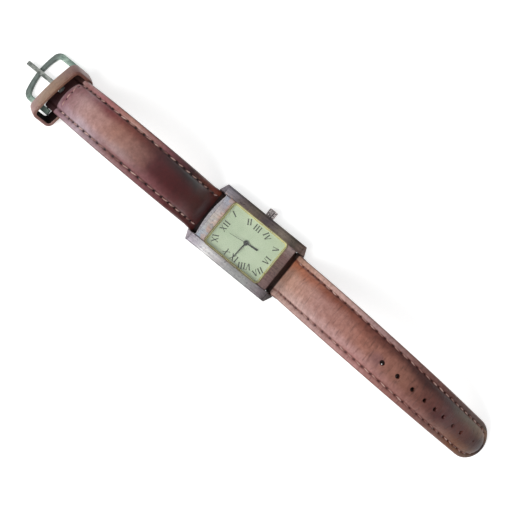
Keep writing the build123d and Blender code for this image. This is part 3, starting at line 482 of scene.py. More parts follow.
# What each leather is unless its own look says otherwise
plainLeather = {
    "from": 0.0, "to": 1.0,  # where its tints begin and end, in tenths of a metre along the strap
    "at": (0.0, 0.5, 1.0), "patchShift": 0.35,  # places of the tints, and how far patches break up their borders
    "seamMiddle": 2.05, "needleShade": 0.9, "crease": 0.5, "creaseShade": 0.3, "wax": 0.25, "specular": 0.5,
    "keeperShadeLine": None, "stains": (),
}


# Leather: dyed and waxed cowhide with a smooth plated grain. Fine pores of about half a millimetre, long creases
# across the bends, darker dyeing in the seams and on the cut edge, and a wax gloss that has worn unevenly. Light and
# shade are painted into it too: along and across the strap, in the creases and needle holes, at the fold round the bar
# and under the keeper.
def makeLeather(name, ownLook):
    look = {**plainLeather, **ownLook}
    material, add = startMaterial(name)
    spot = add("TexCoord").outputs["Object"]
    flat = add("UVMap", choice="flat")
    place = add("SeparateXYZ", (flat,)).outputs
    inward = add("Attribute", choice="inward").outputs["Fac"]
    # colour along the strap, dyed tints and painted light and shade together: painted dark where the strap slopes away
    # from the lamp and pale where it slopes towards it, its borders broken up by patches of about 9 mm
    patches = add("TexNoise", {"Vector": spot, "Scale": 110.0, "Detail": 4.0, "Roughness": 0.6})
    shift = look["patchShift"]
    shifted = add("Math", (patches, shift, place["X"]), "MULTIPLY_ADD")
    share = add("MapRange", (shifted, look["from"] + shift / 2, look["to"] + shift / 2))
    colour, *sides = [add("ValToRGB", (share,), list(zip(look["at"], tints))) for tints in look["dyeAndPaintedLight"]]
    # painted light and shade across the strap: paler on the 9 o'clock side, which is lit, and darker on the 3 o'clock
    # side as shade, with the flat margin at 3 o'clock given its own tints, dye and painted light together
    across = add("Math", (patches, 0.03, place["Y"]), "MULTIPLY_ADD")
    borders = ((across, 0.003, -0.035), (across, 0.027, 0.065), (place["Y"], 0.0575, 0.0605))
    for tinted, (measure, near, far) in zip(sides, borders):
        toSide = add("MapRange", (measure, near, far), "SMOOTHSTEP")
        colour = add("Mix", (toSide, colour, tinted))
    # small mottling of 1.5 mm
    mottle = add("TexNoise", {"Vector": spot, "Scale": 650.0, "Detail": 5.0, "Roughness": 0.7})
    mottleTone = add("ValToRGB", (mottle,), ((0.3, "#b9a9a4"), (0.7, "#ffffff")))
    colour = add("Mix", (0.75, colour, mottleTone), "MULTIPLY")
    # fine creases across the strap, about 0.6 mm apart and broken up; their lines also darken the colour, as painted
    # shade
    stretch = add("Mapping", {"Vector": flat, "Scale": (30.0, 4.0, 1.0)})
    creases = add("TexNoise", {"Vector": stretch, "Scale": 5.0, "Detail": 6.0, "Roughness": 0.62, "Distortion": 0.4})
    creaseLines = add("ValToRGB", (creases,), ((0.3, "#000000"), (0.46, "#ffffff")))
    colour = add("Mix", (look["creaseShade"], colour, creaseLines), "MULTIPLY")
    # dark cut edge, dyes settled along the seam, painted shade in the needle holes, and a painted black shadow where
    # the strap folds round its bar, in the gap next to the case
    fromSeam = add("Math", (inward, look["seamMiddle"]), "SUBTRACT")
    fromSeam = add("Math", (fromSeam,), "ABSOLUTE")
    needle = add("Attribute", choice="needle").outputs["Fac"]
    for measure, low, high, atLow, atHigh, tint in (
        (inward, 0.1, 0.45, 0.75, 0.0, look["edgeDye"]),
        (fromSeam, 0.1, 0.6, 0.62, 0.0, look["seamDye"]),
        # painted shade in the needle holes
        (needle, 0.15, 0.7, 0.0, look["needleShade"], "#1c0e0d"),
        # painted black shadow at the fold round the bar, next to the case
        (place["X"], 0.011, 0.019, 0.93, 0.0, "#120a09"),
    ):
        darkened = add("MapRange", (measure, low, high, atLow, atHigh), "SMOOTHSTEP")
        colour = add("Mix", (darkened, colour, tint))
    levels = {"Specular IOR Level": look["specular"], "Coat Weight": look["wax"]}
    if look["keeperShadeLine"]:  # painted shade where the keeper covers the strap: dark and without sheen
        slanted = add("Math", (place["Y"], 0.22, place["X"]), "MULTIPLY_ADD")
        line = look["keeperShadeLine"]
        shadeUnderKeeper = add("MapRange", (slanted, line - 0.002, line + 0.005, 0.0, 0.9), "SMOOTHSTEP")
        colour = add("Mix", (shadeUnderKeeper, colour, "#26130f"))
        for socket, level in levels.items():
            levels[socket] = add("MapRange", (shadeUnderKeeper, 0.0, 0.9, level, 0.0))
    for where, wide, tint, amount in look["stains"]:  # old damp stains, each a soft round patch on the flat map
        toward = add("VectorMath", (flat, (*where, 0.0)), "DISTANCE")
        ragged = add("Math", (patches, wide * 0.9, toward), "MULTIPLY_ADD")
        soft = add("MapRange", (ragged, wide * 0.75, wide * 1.5, amount, 0.0), "SMOOTHSTEP")
        colour = add("Mix", (soft, colour, tint))
    gloss = add("MapRange", (patches, 0.3, 0.7, look["gloss"][0], look["gloss"][1]))
    pores = add("TexVoronoi", {"Vector": spot, "Scale": 2100.0})  # half-millimetre pebbles
    bump = add("Bump", {"Strength": 0.35, "Distance": 0.00003, "Height": pores})
    bump = add("Bump", {"Strength": look["crease"], "Distance": 0.00012, "Height": creaseLines, "Normal": bump})
    bump = add("Bump", {"Strength": 0.5, "Distance": 0.0004, "Height": patches, "Normal": bump})
    return closeMaterial(material, {"Base Color": colour, "Roughness": gloss, "Normal": bump, "Coat Roughness": 0.32,
                                    **levels})


# the tint lists hold the tints down the middle, then the 9 o'clock side, the 3 o'clock side and the flat margin there;
# the tints are dyed colour and painted light and shade together, darkest where a half slopes away from the lamp
shortLook = {
    "to": 0.783, "patchShift": 0.12, "at": (0.06, 0.22, 0.38, 0.54, 0.7, 0.88),
    "dyeAndPaintedLight": (("#481212", "#501213", "#5a1a1d", "#b27e6e", "#c89d97", "#a8757c"),
            ("#5b221d", "#641f20", "#8e575a", "#9f7270", "#cbb3bc", "#b58a94"),
            ("#5c2216", "#141212", "#4b181a", "#8b4d41", "#863740", "#b07c7c"),
            ("#843e2a", "#361515", "#844e52", "#bb8879", "#af6d6f", "#b98a84")),
    "edgeDye": "#5c3a37", "seamDye": "#4a2a26", "gloss": (0.38, 0.52), "crease": 0.2, "creaseShade": 0.12, "wax": 0.15,
    "keeperShadeLine": 0.705,
}
longLook = {
    "to": 1.046, "patchShift": 0.12, "at": (0.06, 0.22, 0.38, 0.54, 0.7, 0.86, 0.96),
    "dyeAndPaintedLight": (("#e1af9a", "#c7988e", "#aa6e5d", "#9b6858", "#5b2b2a", "#602512", "#381712"),
            ("#e1bcaf", "#d5afa9", "#c18c87", "#aa776e", "#90655b", "#844a1e", "#654a39"),
            ("#df8f6c", "#9f5a43", "#864e41", "#542922", "#361212", "#70604b", "#8f6e56"),
            ("#e1b29b", "#e1baae", "#b6938f", "#916962", "#643a31", "#5a3c34", "#54402f")),
    "edgeDye": "#7a5148", "seamDye": "#6e3a33", "gloss": (0.42, 0.56), "crease": 0.55, "creaseShade": 0.42, "wax": 0.03,
    "specular": 0.35, "needleShade": 0.6,
    "stains": (((0.47, -0.01), 0.03, "#6a4550", 0.4),),  # place on the flat map, radius, tint, strength
}
liningLook = {
    "dyeAndPaintedLight": (("#8f6248", "#7a5140", "#866050"),),
    "edgeDye": "#4a2d26", "seamDye": "#6d4638", "gloss": (0.55, 0.7), "wax": 0.02,
}
coreLook = {
    "dyeAndPaintedLight": (("#553229", "#4a2b25", "#5c3a30"),),
    "edgeDye": "#452822", "seamDye": "#452822", "gloss": (0.6, 0.75), "crease": 0.2, "wax": 0.0,
}
keeperLook = {
    "from": 0.1, "to": 0.3, "patchShift": 0.08,
    "at": (0.0, 0.3, 0.6, 1.0), "dyeAndPaintedLight": (("#b08480", "#a8866c", "#9c765a", "#7d4d44"),),
    "edgeDye": "#6d4a3c", "seamDye": "#94685a", "gloss": (0.38, 0.52), "crease": 0.3, "seamMiddle": 9.0,
}
# inside of the keeper loop: painted near black as the shade in it
keeperInsidePaintedShadeLook = {
    "to": 0.4, "dyeAndPaintedLight": (("#221411", "#1b100e", "#2a1a14"),), "specular": 0.1, "wax": 0.0,
    "edgeDye": "#2a1a14", "seamDye": "#1b100e", "gloss": (0.8, 0.9), "crease": 0.3, "seamMiddle": 9.0,
}
shortLeather = makeLeather("waxedCowhideShort", shortLook)
longLeather = makeLeather("waxedCowhideLong", longLook)
liningLeather = makeLeather("liningCalf", liningLook)
coreLeather = makeLeather("splitLeatherCore", coreLook)
keeperLeather = makeLeather("waxedCowhideKeeper", keeperLook)
keeperInsidePaintedShade = makeLeather("cowhideInsidePaintedShade", keeperInsidePaintedShadeLook)


# Thread: waxed polyester in two plies, a dull satin that shows a twist
def makeThread():
    material, add = startMaterial("waxedPolyesterThread")
    spot = add("TexCoord").outputs["Object"]
    fade = add("TexNoise", {"Vector": spot, "Scale": 160.0, "Detail": 2.0})
    colour = add("ValToRGB", (fade,), ((0.3, "#4f2c28"), (0.45, "#94675d"), (0.6, "#cfab9f")))
    plies = add("TexWave", {"Vector": spot, "Scale": 1400.0}, "DIAGONAL")
    twist = add("Bump", {"Strength": 0.4, "Distance": 0.00005, "Height": plies.outputs["Fac"]})
    return closeMaterial(material, {"Base Color": colour, "Roughness": 0.55, "Sheen Weight": 0.15, "Normal": twist})


threadFinish = makeThread()
print("stage: leather and thread mixed")


def fitLayer(strap, layer, bm, material):
    # a finished flat layer is pierced for the tongue, bent and put in its place
    piece = finishMesh(strap["name"] + layer.title(), bm, material)
    punch(piece, slotPunch(strap) if strap["wrapEnd"] else holePunches(strap, layer != "top"))
    bendLayer(piece, strap)
    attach(piece, strap["body"])
    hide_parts(strap["body"] + "_" + layer)


def buildTop(strap, material):
    begin = -radians(strap["wrapStart"]) * strap["skin"]
    end = strapLength(strap) + radians(strap["wrapEnd"]) * strap["skin"]
    bm = layOutSheet(strap, strap["rows"]["top"], 64, begin, end)
    for vert in bm.verts:
        vert.co.z = leatherHeight(strap, vert.co.x, vert.co.y)
    thicken(bm, strap["topUnder"])
    fitLayer(strap, "top", bm, material)


def buildUnder(strap, layer, low, high, material):
    # filler or lining: a flat sheet a little inside the top leather
    inset = strap[layer + "Inset"]
    end = strapLength(strap) - (strap["underEndGap"] if strap["wrapEnd"] else inset)
    bm = layOutSheet(strap, strap["rows"][layer], 30, strap["underFrom"], end)
    for vert in bm.verts:
        vert.co.x *= 1 - inset / strap["halfStart"]
        vert.co.z = high
    thicken(bm, low)
    fitLayer(strap, layer, bm, material)


# Each stitch leans a little, lies on the seam and pulls down into its holes; ranges are for the seeded dice
stitchMake = {"lean": (5, 11), "reach": (1.15, 1.35), "thick": (0.2, 0.26), "flat": 0.9, "lift": 0.1, "pull": 0.35}


def buildStitches(strap):
    make = stitchMake
    bm = bmesh.new()
    for x, s, heading in stitchPath(strap):
        height = leatherHeight(strap, x, s) + make["lift"]
        lean = heading + dice.uniform(*make["lean"])
        made = ops.create_uvsphere(bm, u_segments=8, v_segments=5, radius=1.0)
        reach, thick = dice.uniform(*make["reach"]), dice.uniform(*make["thick"])
        shape = Matrix.Translation((x, s, height)) @ Matrix.Rotation(radians(lean), 4, "Z")
        shape = shape @ Matrix.Rotation(pi / 2, 4, "Y") @ Matrix.Diagonal((thick * make["flat"], thick, reach, 1))
        ops.transform(bm, matrix=shape, verts=made["verts"])
        for vert in made["verts"]:
            vert.co.z -= make["pull"] * (hypot(vert.co.x - x, vert.co.y - s) / reach) ** 3
    bendAll(bm, strap)
    piece = finishMesh(strap["name"] + "Stitches", bm, threadFinish)
    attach(piece, strap["body"])


for strap, topLeather in ((strapShort, shortLeather), (strapLong, longLeather)):
    buildTop(strap, topLeather)
    buildUnder(strap, "filler", strap["fillerUnder"], strap["topUnder"], coreLeather)
    buildUnder(strap, "lining", -strap["skin"], strap["fillerUnder"], liningLeather)
    buildStitches(strap)
print("stage: strap halves sewn")

# The keeper is one strip of the same leather, skived and glued into a loop that stands loose round the strap
keeperMake = {
    "fromBar": 5.0, "length": 5.2, "wall": 1.1, "skew": -15.0, "shift": -1.6, "corner": 1.0,
    "insideWide": 18.7, "roomAbove": 3.3, "roomBelow": 0.35, "crown": 0.15, "bow": 0.5,
    "rolledEdge": 0.3, "steps": 8,
}


def buildKeeper():
    make = keeperMake
    tall = 2 * leatherMake["skin"] + make["roomAbove"] + make["roomBelow"]
    middleOut = (make["roomAbove"] - make["roomBelow"]) / 2
    bm = roundedSheet(make["insideWide"], tall, make["corner"], 7)
    ops.delete(bm, geom=bm.faces[:], context="FACES_ONLY")
    for low, cuts in ((8.0, 24), (2.0, 6)):
        long = [e for e in bm.edges if e.calc_length() > low]
        ops.subdivide_edges(bm, edges=long, cuts=cuts)
    ops.translate(bm, vec=(0, 0, -make["length"] / 2), verts=bm.verts[:])
    edges = bm.edges[:]
    for step in range(make["steps"]):
        edges = pullEdges(bm, edges, make["length"] / make["steps"])
    faceOutwards(bm)
    for vert in bm.verts:
        belly = 1 - (2 * vert.co.z / make["length"]) ** 2
        vert.co.x *= 1 + make["crown"] * belly / (make["insideWide"] / 2)
        vert.co.y *= 1 + make["crown"] * belly / (tall / 2)
        if vert.co.y > 0:  # the loop has kept the bow of the strap's second layer
            vert.co.y += make["bow"] * (1 - (2 * vert.co.x / make["insideWide"]) ** 2) * vert.co.y * 2 / tall
    ops.solidify(bm, geom=bm.faces[:], thickness=-make["wall"])
    faceOutwards(bm)
    flatMap = bm.loops.layers.uv.new("flat")
    inward = bm.verts.layers.float.new("inward")
    for vert in bm.verts:
        vert[inward] = 0.25 + make["length"] / 2 - abs(vert.co.z)
    for face in bm.faces:  # the faces turned towards the middle of the loop show the flesh side, painted near black as the shade inside the loop
        middle = face.calc_center_median()
        face.material_index = int(face.normal.x * middle.x + face.normal.y * middle.y < -0.3)
        for loop in face.loops:
            loop[flatMap].uv = (loop.vert.co.x * mm * 10 + 0.2, loop.vert.co.z * mm * 10)
    fall, skew = radians(strapShort["fall"]), radians(make["skew"])
    back = Vector((0, -cos(fall), sin(fall)))
    side = Vector((1, 0, 0))
    acrossLoop = side * cos(skew) - back * sin(skew)
    alongLoop = back * cos(skew) + side * sin(skew)
    outLoop = alongLoop.cross(acrossLoop)
    y, z = alongStrap(strapShort, strapLength(strapShort) - make["fromBar"], 0.0)
    middle = Vector((strapShort["drift"], y, z)) + acrossLoop * make["shift"] + outLoop * middleOut
    turned = Matrix((acrossLoop, outLoop, alongLoop)).transposed().to_4x4()
    moveAll(bm, Matrix.Scale(mm, 4) @ Matrix.Translation(middle) @ turned)
    faceOutwards(bm)
    piece = finishMesh("keeperLoop", bm, keeperLeather)
    piece.data.materials.append(keeperInsidePaintedShade)
    bevel = piece.modifiers.new("rolled edges", "BEVEL")
    bevel.width = make["rolledEdge"] * mm
    bevel.segments = 3
    bevel.limit_method = "ANGLE"
    bevel.angle_limit = radians(40)
    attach(piece, "keeper")
    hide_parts("keeper_loop")


buildKeeper()
print("stage: keeper made")

# Nickel and chrome plate on brass, worn: rubbed through to pinkish brass in patches, with pits of about 0.3 mm. Its
# tints are partly tarnish and partly painted light and shade: bright grey, painted as lit, toward the 9 and 12 o'clock
# edges, and brown-grey, painted as shaded, toward 3 and 6 o'clock. The tints go up each side bar and from left to right
# along each end bar; lengths are in m.
caseLook = {
    "sideAt": (0.0, 0.15, 0.3, 0.45, 0.6, 0.75, 0.9, 1.0),
    "nine": ("#2d2623", "#83787b", "#9c9c99", "#a0a09e", "#b7b2b1", "#e4e2e0", "#a8a0a8", "#bbb2bb"),
    "three": ("#7a5f55", "#493e34", "#766a5e", "#4b3e41", "#5b4f44", "#5d504e", "#7e787e", "#8b818a"),
    "endAt": (0.0, 0.25, 0.5, 0.75, 1.0),
    "twelve": ("#a9b4c0", "#b9b8b8", "#c9beb4", "#b0a8ab", "#9aa0ae"),
    "six": ("#745c58", "#6f5551", "#67524b", "#725551", "#897772"),
    # lips: a painted black shadow at 6 o'clock and a painted highlight at 12 o'clock
    "lipSixPaintedShadow": "#17100f", "lipTwelvePaintedHighlight": "#f0eef2", "dirt": "#4d3a38", "flash": "#c99c80",
    "plateMetallic": 0.55, "lipMetallic": 0.15,
    "seam": 0.008,  # from the middle to the joint between a side bar and an end bar
}


def makeCaseMetal(look):
    material, add = startMaterial("wornNickelPlateAndPaintedLight")
    spot = add("TexCoord").outputs["Object"]
    place = add("SeparateXYZ", (spot,)).outputs
    patches = add("TexNoise", {"Vector": spot, "Scale": 300.0, "Detail": 4.0, "Roughness": 0.55})
    # tarnish and painted light and shade follow each of the four bars of the case, their borders broken up by patches
    # of 3 mm
    bars = []
    for axis, ragged, low, high, at, names in (
        ("Y", 0.005, -0.0149, 0.0199, "sideAt", ("nine", "three")),
        ("X", 0.004, -0.006, 0.010, "endAt", ("six", "twelve")),
    ):
        along = add("Math", (patches, ragged, place[axis]), "MULTIPLY_ADD")
        share = add("MapRange", (along, low, high))
        bars += [add("ValToRGB", (share,), list(zip(look[at], look[name]))) for name in names]
    nine, three, six, twelve = bars
    rightShare = add("MapRange", (place["X"], -0.002, 0.002))
    upperShare = add("MapRange", (place["Y"], -0.002, 0.002))
    fromMiddle = add("Math", (place["X"],), "ABSOLUTE")
    endShare = add("MapRange", (fromMiddle, 0.00805, 0.00795))
    sides = add("Mix", (rightShare, nine, three))
    ends = add("Mix", (upperShare, six, twelve))
    colour = add("Mix", (endShare, sides, ends))
    # the sloping lips towards the strap: a painted highlight at 12 o'clock, a painted black shadow at 6 o'clock
    fromCentre = add("Math", (place["Y"],), "ABSOLUTE")
    lip = add("MapRange", (fromCentre, 0.01400, 0.01412, 0.0, 0.9))
    lipShare = add("Math", (lip, endShare), "MULTIPLY")
    lipPaintedLight = add("Mix", (upperShare, look["lipSixPaintedShadow"], look["lipTwelvePaintedHighlight"]))
    colour = add("Mix", (lipShare, colour, lipPaintedLight))
    # the lip at 12 o'clock is made less metallic, so its painted highlight scatters more light than the plate does
    bright = add("Math", (lipShare, upperShare), "MULTIPLY")
    mirror = add("MapRange", (bright, 0.0, 0.9, look["plateMetallic"], look["lipMetallic"]))
    # dirt left in the seams between the bars
    fromSeam = add("Math", (fromMiddle, look["seam"]), "SUBTRACT")
    fromSeam = add("Math", (fromSeam,), "ABSOLUTE")
    dirt = add("MapRange", (fromSeam, 0.00008, 0.0003, 0.7, 0.0), "SMOOTHSTEP")
    colour = add("Mix", (dirt, colour, look["dirt"]))
    # the plate is rubbed through to a copper flash next to the glass at 12 o'clock
    rubs = add("TexNoise", {"Vector": spot, "Scale": 420.0, "Detail": 5.0, "Roughness": 0.65})
    aboveGlass = add("MapRange", (place["Y"], 0.0138, 0.0112, 0.0, 0.26))
    rubShare = add("Math", (aboveGlass, endShare, rubs), "MULTIPLY_ADD")
    upperRub = add("MapRange", (rubShare, 0.6, 0.76, 0.0, 0.55), "SMOOTHSTEP")
    rubbed = add("Math", (upperRub, upperShare), "MULTIPLY")
    colour = add("Mix", (rubbed, colour, look["flash"]))
    # fine brushing along the case and a light speckle of pits
    drawn = add("Mapping", {"Vector": spot, "Scale": (1.0, 0.06, 1.0)})
    brushing = add("TexNoise", {"Vector": drawn, "Scale": 2600.0, "Detail": 3.0})
    brushTone = add("ValToRGB", (brushing,), ((0.35, "#a9a4a4"), (0.6, "#ffffff")))
    colour = add("Mix", (0.45, colour, brushTone), "MULTIPLY")
    specks = add("TexNoise", {"Vector": spot, "Scale": 1500.0, "Detail": 5.0, "Roughness": 0.75})
    speckTone = add("ValToRGB", (specks,), ((0.38, "#7c8098"), (0.48, "#ffffff")))
    colour = add("Mix", (0.5, colour, speckTone), "MULTIPLY")
    dull = add("MapRange", (patches, 0.3, 0.7, 0.26, 0.44))
    bump = add("Bump", {"Strength": 0.2, "Distance": 0.00002, "Height": brushing})
    bump = add("Bump", {"Strength": 0.2, "Distance": 0.0001, "Height": patches, "Normal": bump})
    return closeMaterial(material, {"Base Color": colour, "Metallic": mirror, "Roughness": dull, "Normal": bump,
                                    "Specular IOR Level": 0.6})


# Two recipes for the plain finishes: a base, a second tint in soft patches, and a fine texture, turned or drawn on
# metals and moulded or printed on the rest. share is where the second tint begins and is whole, pitch is the size of
# the texture in mm, and worn is a line across the watch where grey metal begins: its y and blend length in m.
metal = {"detail": 5.0, "patchRoughness": 0.65, "share": (0.45, 0.6), "pitch": 0.15, "fineDetail": 3.0,
         "relief": 0.00003, "metallic": 1.0, "worn": None}
moulded = {"detail": 4.0, "patchRoughness": 0.5, "share": (0.35, 0.65), "pitch": 0.2, "fineDetail": 2.0,
           "relief": 0.00002, "metallic": 0.0, "worn": None}


def makeFinish(name, recipe, base, second, patchSize, roughness, depth, **changes):
    look = {**recipe, **changes}
    material, add = startMaterial(name)
    spot = add("TexCoord").outputs["Object"]
    patches = add("TexNoise", {"Vector": spot, "Scale": 1000.0 / patchSize, "Detail": look["detail"],
                               "Roughness": look["patchRoughness"]})
    colour = add("ValToRGB", (patches,), tuple(zip(look["share"], (base, second))))
    if look["worn"]:
        line, blend, bare = look["worn"]
        place = add("SeparateXYZ", (spot,)).outputs
        beyond = add("MapRange", (place["Y"], line, line + blend, 0.0, 0.8), "SMOOTHSTEP")
        colour = add("Mix", (beyond, colour, bare))
    dull = add("MapRange", (patches, 0.3, 0.7, roughness[0], roughness[1]))
    fine = add("TexNoise", {"Vector": spot, "Scale": 1000.0 / look["pitch"], "Detail": look["fineDetail"]})
    bump = add("Bump", {"Strength": depth, "Distance": look["relief"], "Height": fine})
    return closeMaterial(material, {"Base Color": colour, "Metallic": look["metallic"], "Roughness": dull,
                                    "Normal": bump})


goldPlate = makeFinish("wornGoldPlate", metal, "#e0cb7c", "#b8a058", 3.0, (0.3, 0.45), 0.2, metallic=0.6)
steel = makeFinish("turnedStainlessSteel", metal, "#b4b2b0", "#9a9794", 2.5, (0.25, 0.4), 0.25)
springSteel = makeFinish("drawnSpringSteel", metal, "#8f8d8b", "#6f6a66", 1.5, (0.3, 0.5), 0.3)
crownMetal = makeFinish("tarnishedCrownPlate", metal, "#d8cecb", "#40363a", 0.55, (0.16, 0.3), 0.3)
brass = makeFinish("rolledBrass", metal, "#c2a05a", "#a8884a", 2.0, (0.28, 0.42), 0.2)
copper = makeFinish("enamelledCopperWire", metal, "#b8693a", "#9c5630", 0.8, (0.25, 0.35), 0.6, pitch=0.2)
verdigris = makeFinish("verdigrisBrass", metal, "#a5baac", "#657a6f", 1.8, (0.4, 0.6), 0.8, metallic=0.4,
                       share=(0.4, 0.62), worn=(0.0835, 0.0015, "#5f6663"))
tongueMetal = makeFinish("dulledNickelPlate", metal, "#999c96", "#626863", 1.8, (0.35, 0.55), 0.6, metallic=0.8)
handLacquer = makeFinish("blackLacquer", metal, "#1d1f1c", "#2a2c28", 0.9, (0.3, 0.42), 0.1, metallic=0.0)
dialPaint = makeFinish("dialLacquer", moulded, "#bac5b1", "#adbaa4", 7.0, (0.4, 0.5), 0.15)
printInk = makeFinish("printInk", moulded, "#141812", "#20261c", 0.5, (0.5, 0.6), 0.2)
agedGasket = makeFinish("agedNylonGasket", moulded, "#8f7a45", "#75633a", 1.5, (0.4, 0.5), 0.2)
nylon = makeFinish("whiteNylon", moulded, "#d8d6cc", "#cfccc0", 2.0, (0.45, 0.55), 0.2)
rubber = makeFinish("nitrileRubber", moulded, "#232323", "#2d2d2c", 1.5, (0.6, 0.75), 0.4)
holderPlastic = makeFinish("acetalMoulding", moulded, "#d9d8d4", "#cdccc6", 2.5, (0.4, 0.5), 0.3)
boardLaminate = makeFinish("glassEpoxyBoard", moulded, "#3f6b45", "#355c3b", 0.8, (0.35, 0.5), 0.3)
chipResin = makeFinish("epoxyChipResin", moulded, "#1e1f20", "#282828", 1.0, (0.5, 0.6), 0.4)


# Mineral glass: clear, faintly green in the thickness, and it casts no shadow on the dial under it
def makeCrystal():
    material, add = startMaterial("mineralGlass")
    spot = add("TexCoord").outputs["Object"]
    smears = add("TexNoise", {"Vector": spot, "Scale": 300.0, "Detail": 3.0})
    dull = add("MapRange", (smears, 0.35, 0.7, 0.0, 0.012))
    return closeMaterial(material, {"Base Color": "#f4f8ee", "Transmission Weight": 1.0, "IOR": 1.5,
                                    "Roughness": dull})


crystalGlass = makeCrystal()
caseMetal = makeCaseMetal(caseLook)
dress(steel, "case_back", "battery", *[n for n in nodes if n.startswith("case_back_screw")])
dress(dialPaint, "dial")
dress(crystalGlass, "crystal")
nodes["crystal"].visible_shadow = False
dress(nylon, "hour_wheel", "intermediate_wheel", "rotor", "third_wheel", "seconds_wheel")
dress(agedGasket, "crystal_gasket")
dress(rubber, "case_back_gasket", "crown_gasket")
dress(holderPlastic, "movement_holder")
dress(brass, "main_plate", "train_bridge", "centre_wheel", "cannon_pinion", "minute_wheel", "crown_tube")
dress(springSteel, "bridge_screw", "stator", "coil_core", "battery_clamp", "sliding_pinion", "stem", "quartz_can",
      *[n for n in nodes if n.startswith(("lug_bar", "buckle_bar"))])
dress(copper, "coil_winding")
dress(boardLaminate, "circuit_board")
dress(chipResin, "chip")
dress(crownMetal, "crown")
dress(verdigris, "buckle_frame")
dress(tongueMetal, "buckle_tongue")
print("stage: metals and plastics dressed")


# Case: stamped and milled brass, plated. Its outer edges are worn round, most of all at the ends of the lugs. Widths
# and places are in mm, angles in degrees.
caseMake = {
    "lugEdge": 0.2, "topEdge": 0.08,  # widths of the rounded edges
    "lugFrom": 15.25, "topFrom": 4.8, "sideFrom": 10.9,  # where each kind of edge begins, from the middle
    "shortest": 0.6,  # anything shorter is a facet of a small hole
    "sharp": 35.0, "flat": 1.0, "weld": 0.002,
}


def buildCase():
    make = caseMake
    bm = bmesh.new()
    bm.from_mesh(nodes["case_body"].data)
    # the loose triangles of the CAD mesh are welded and joined into whole faces before the edges are rounded
    ops.remove_doubles(bm, verts=bm.verts[:], dist=make["weld"] * mm)
    ops.dissolve_limit(bm, angle_limit=radians(make["flat"]), verts=bm.verts[:], edges=bm.edges[:])
    share = bm.edges.layers.float.new("bevel_weight_edge")
    for edge in bm.edges:
        if not edge.is_manifold or edge.calc_face_angle(0.0) < radians(make["sharp"]):
            continue
        x, y, z = [min(abs(vert.co[axis]) for vert in edge.verts) / mm for axis in range(3)]
        whole = edge.calc_length() > make["shortest"] * mm
        if edge.is_convex and whole and y > make["lugFrom"]:
            edge[share] = 1.0
        elif edge.is_convex and (z > make["topFrom"] or whole and x > make["sideFrom"]):
            edge[share] = make["topEdge"] / make["lugEdge"]
        else:
            edge.smooth = False
    piece = finishMesh("caseShell", bm, caseMetal)
    rounding = piece.modifiers.new("worn edges", "BEVEL")
    rounding.width = make["lugEdge"] * mm
    rounding.segments = 3
    rounding.limit_method = "WEIGHT"
    rounding.use_clamp_overlap = False
    rounding.harden_normals = True
    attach(piece, "case")
    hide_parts("case_body")


buildCase()
print("stage: case edges worn")

# Bezel ring: gold-plated brass, its inner wall slopes down from the glass to the dial
bezelMake = {"wide": 16.6, "long": 22.2, "corner": 1.5, "rim": 0.2, "slope": 0.5, "top": 5.85, "deep": 1.05}


def buildBezel():
    make = bezelMake
    bm = roundedSheet(make["wide"], make["long"], make["corner"], 8)
    outer = [e for e in bm.edges if e.is_boundary]
    inner = insetFaces(bm, bm.faces[:], make["rim"])
    middle = insetFaces(bm, inner, make["slope"], -make["deep"])
    foot = list({e for f in middle for e in f.edges})
    ops.delete(bm, geom=middle, context="FACES_ONLY")
    wallFoot = pullEdges(bm, outer, -make["deep"])
    ops.bridge_loops(bm, edges=wallFoot + foot)
    faceOutwards(bm)
    moveAll(bm, Matrix.Scale(mm, 4) @ Matrix.Translation((0, 0, make["top"])))
    piece = finishMesh("bezelRing", bm, goldPlate, smooth=False)
    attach(piece, "case")
    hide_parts("bezel_ring")


buildBezel()
print("stage: bezel set")

# Hands: black lacquered brass, each a collar on its pipe and a blade. Each row has its node and body, its turn in
# degrees clockwise from 12, and in mm where the blade begins and ends, its half widths there, and the radius and bore
# of the collar.
handMake = {
    "hourHand": ("hour_hand", "hour", 174.0, (0.5, 4.4), (0.19, 0.34), 0.85, 0.46),
    "minuteHand": ("minute_hand", "minute", 274.0, (0.3, 6.2), (0.26, 0.13), 0.8, 0.19),
    "secondsHand": ("seconds_hand", "seconds", 352.0, (-1.4, 6.2), (0.075, 0.055), 0.4, 0.0),
}


def buildHand(name, node, body, turn, blade, halfWidths, collar, bore):
    low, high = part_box(node)
    bm = bmesh.new()
    ops.create_circle(bm, cap_ends=True, radius=collar, segments=48)
    if bore:
        middle = insetFaces(bm, bm.faces[:], collar - bore)
        ops.delete(bm, geom=middle, context="FACES_ONLY")
    (near, far), (root, tip) = blade, halfWidths
    corners = ((near, -root, 0), (far, -tip, 0), (far, tip, 0), (near, root, 0))
    bm.faces.new([bm.verts.new(corner) for corner in corners])
    thicken(bm, (high.z - low.z) / mm)
    place = Matrix.Translation((0, 0, low.z)) @ Matrix.Rotation(radians(90 - turn), 4, "Z")
    moveAll(bm, place @ Matrix.Scale(mm, 4))
    piece = finishMesh(name, bm, handLacquer, smooth=False)
    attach(piece, body)
    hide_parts(node)


for handName, hand in handMake.items():
    buildHand(handName, *hand)
print("stage: hands fitted")

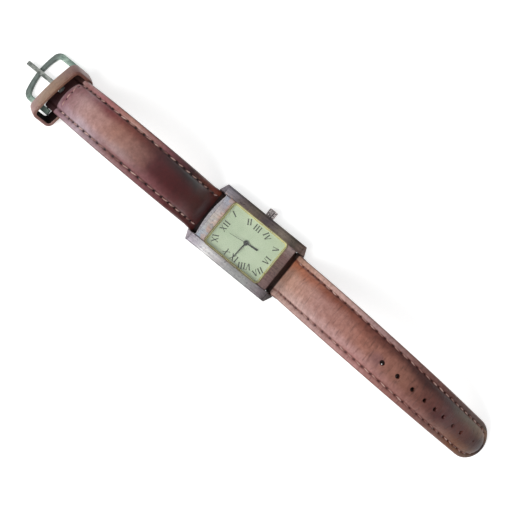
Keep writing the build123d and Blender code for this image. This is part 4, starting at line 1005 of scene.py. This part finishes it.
# Numerals are printed in a narrow serif face, in mm for 2 mm capitals. Each letter has its width, its strokes (across
# at the foot, across at the top, thickness), its serifs (across, width) and whether they are at the foot too.
numeralMake = {"height": 2.05, "serif": 0.12, "print": 0.02, "gap": 0.3}
letters = {
    "I": (0.6, ((0.3, 0.3, 0.37),), ((0.3, 0.6),), True),
    "V": (1.45, ((0.725, 0.18, 0.37), (0.775, 1.33, 0.19)), ((0.18, 0.55), (1.33, 0.4)), False),
    "X": (1.5, ((1.3, 0.2, 0.37), (0.14, 1.36, 0.19)), ((0.19, 0.5), (1.31, 0.5)), True),
}
numerals = (  # text, across and up from the middle of the dial, turn in degrees
    ("XII", 0.0, 8.6, 0), ("I", 4.85, 8.6, -26), ("II", 5.95, 3.3, -58), ("III", 5.95, 0.0, -90),
    ("IV", 5.8, -3.9, -120), ("V", 4.45, -8.7, 27), ("VI", -0.2, -8.7, 0), ("VII", -4.8, -8.7, -27),
    ("VIII", -6.1, -4.2, 118), ("IX", -6.1, 0.0, 90), ("X", -6.1, 3.1, 62), ("XI", -5.0, 8.6, 28),
)


def addStroke(bm, low, foot, high, top, width):
    half = width / 2
    corners = ((low - half, foot, 0), (low + half, foot, 0), (high + half, top, 0), (high - half, top, 0))
    bm.faces.new([bm.verts.new(corner) for corner in corners])


def drawNumeral(text, bm):
    # draws the letters side by side and centres them
    top, serif, gap = numeralMake["height"] / 2, numeralMake["serif"], numeralMake["gap"]
    left = -(sum(letters[letter][0] for letter in text) + gap * (len(text) - 1)) / 2
    for letter in text:
        wide, strokes, serifs, footed = letters[letter]
        for low, high, thick in strokes:
            addStroke(bm, left + low, -top, left + high, top, thick)
        for y in (-top, top - serif) if footed else (top - serif,):
            for across, width in serifs:
                addStroke(bm, left + across, y, left + across, y + serif, width)
        left += wide + gap


def buildNumerals():
    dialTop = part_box("dial")[1].z
    whole = bmesh.new()
    for text, x, y, turn in numerals:
        bm = bmesh.new()
        drawNumeral(text, bm)
        thicken(bm, numeralMake["print"])
        place = Matrix.Translation((x * mm, y * mm, dialTop)) @ Matrix.Rotation(radians(turn), 4, "Z")
        moveAll(bm, place @ Matrix.Scale(mm, 4))
        mesh = bpy.data.meshes.new("numeral")
        bm.to_mesh(mesh)
        bm.free()
        whole.from_mesh(mesh)
        bpy.data.meshes.remove(mesh)
    piece = finishMesh("dialNumerals", whole, printInk, smooth=False)
    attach(piece, "case")


buildNumerals()
print("stage: dial printed")
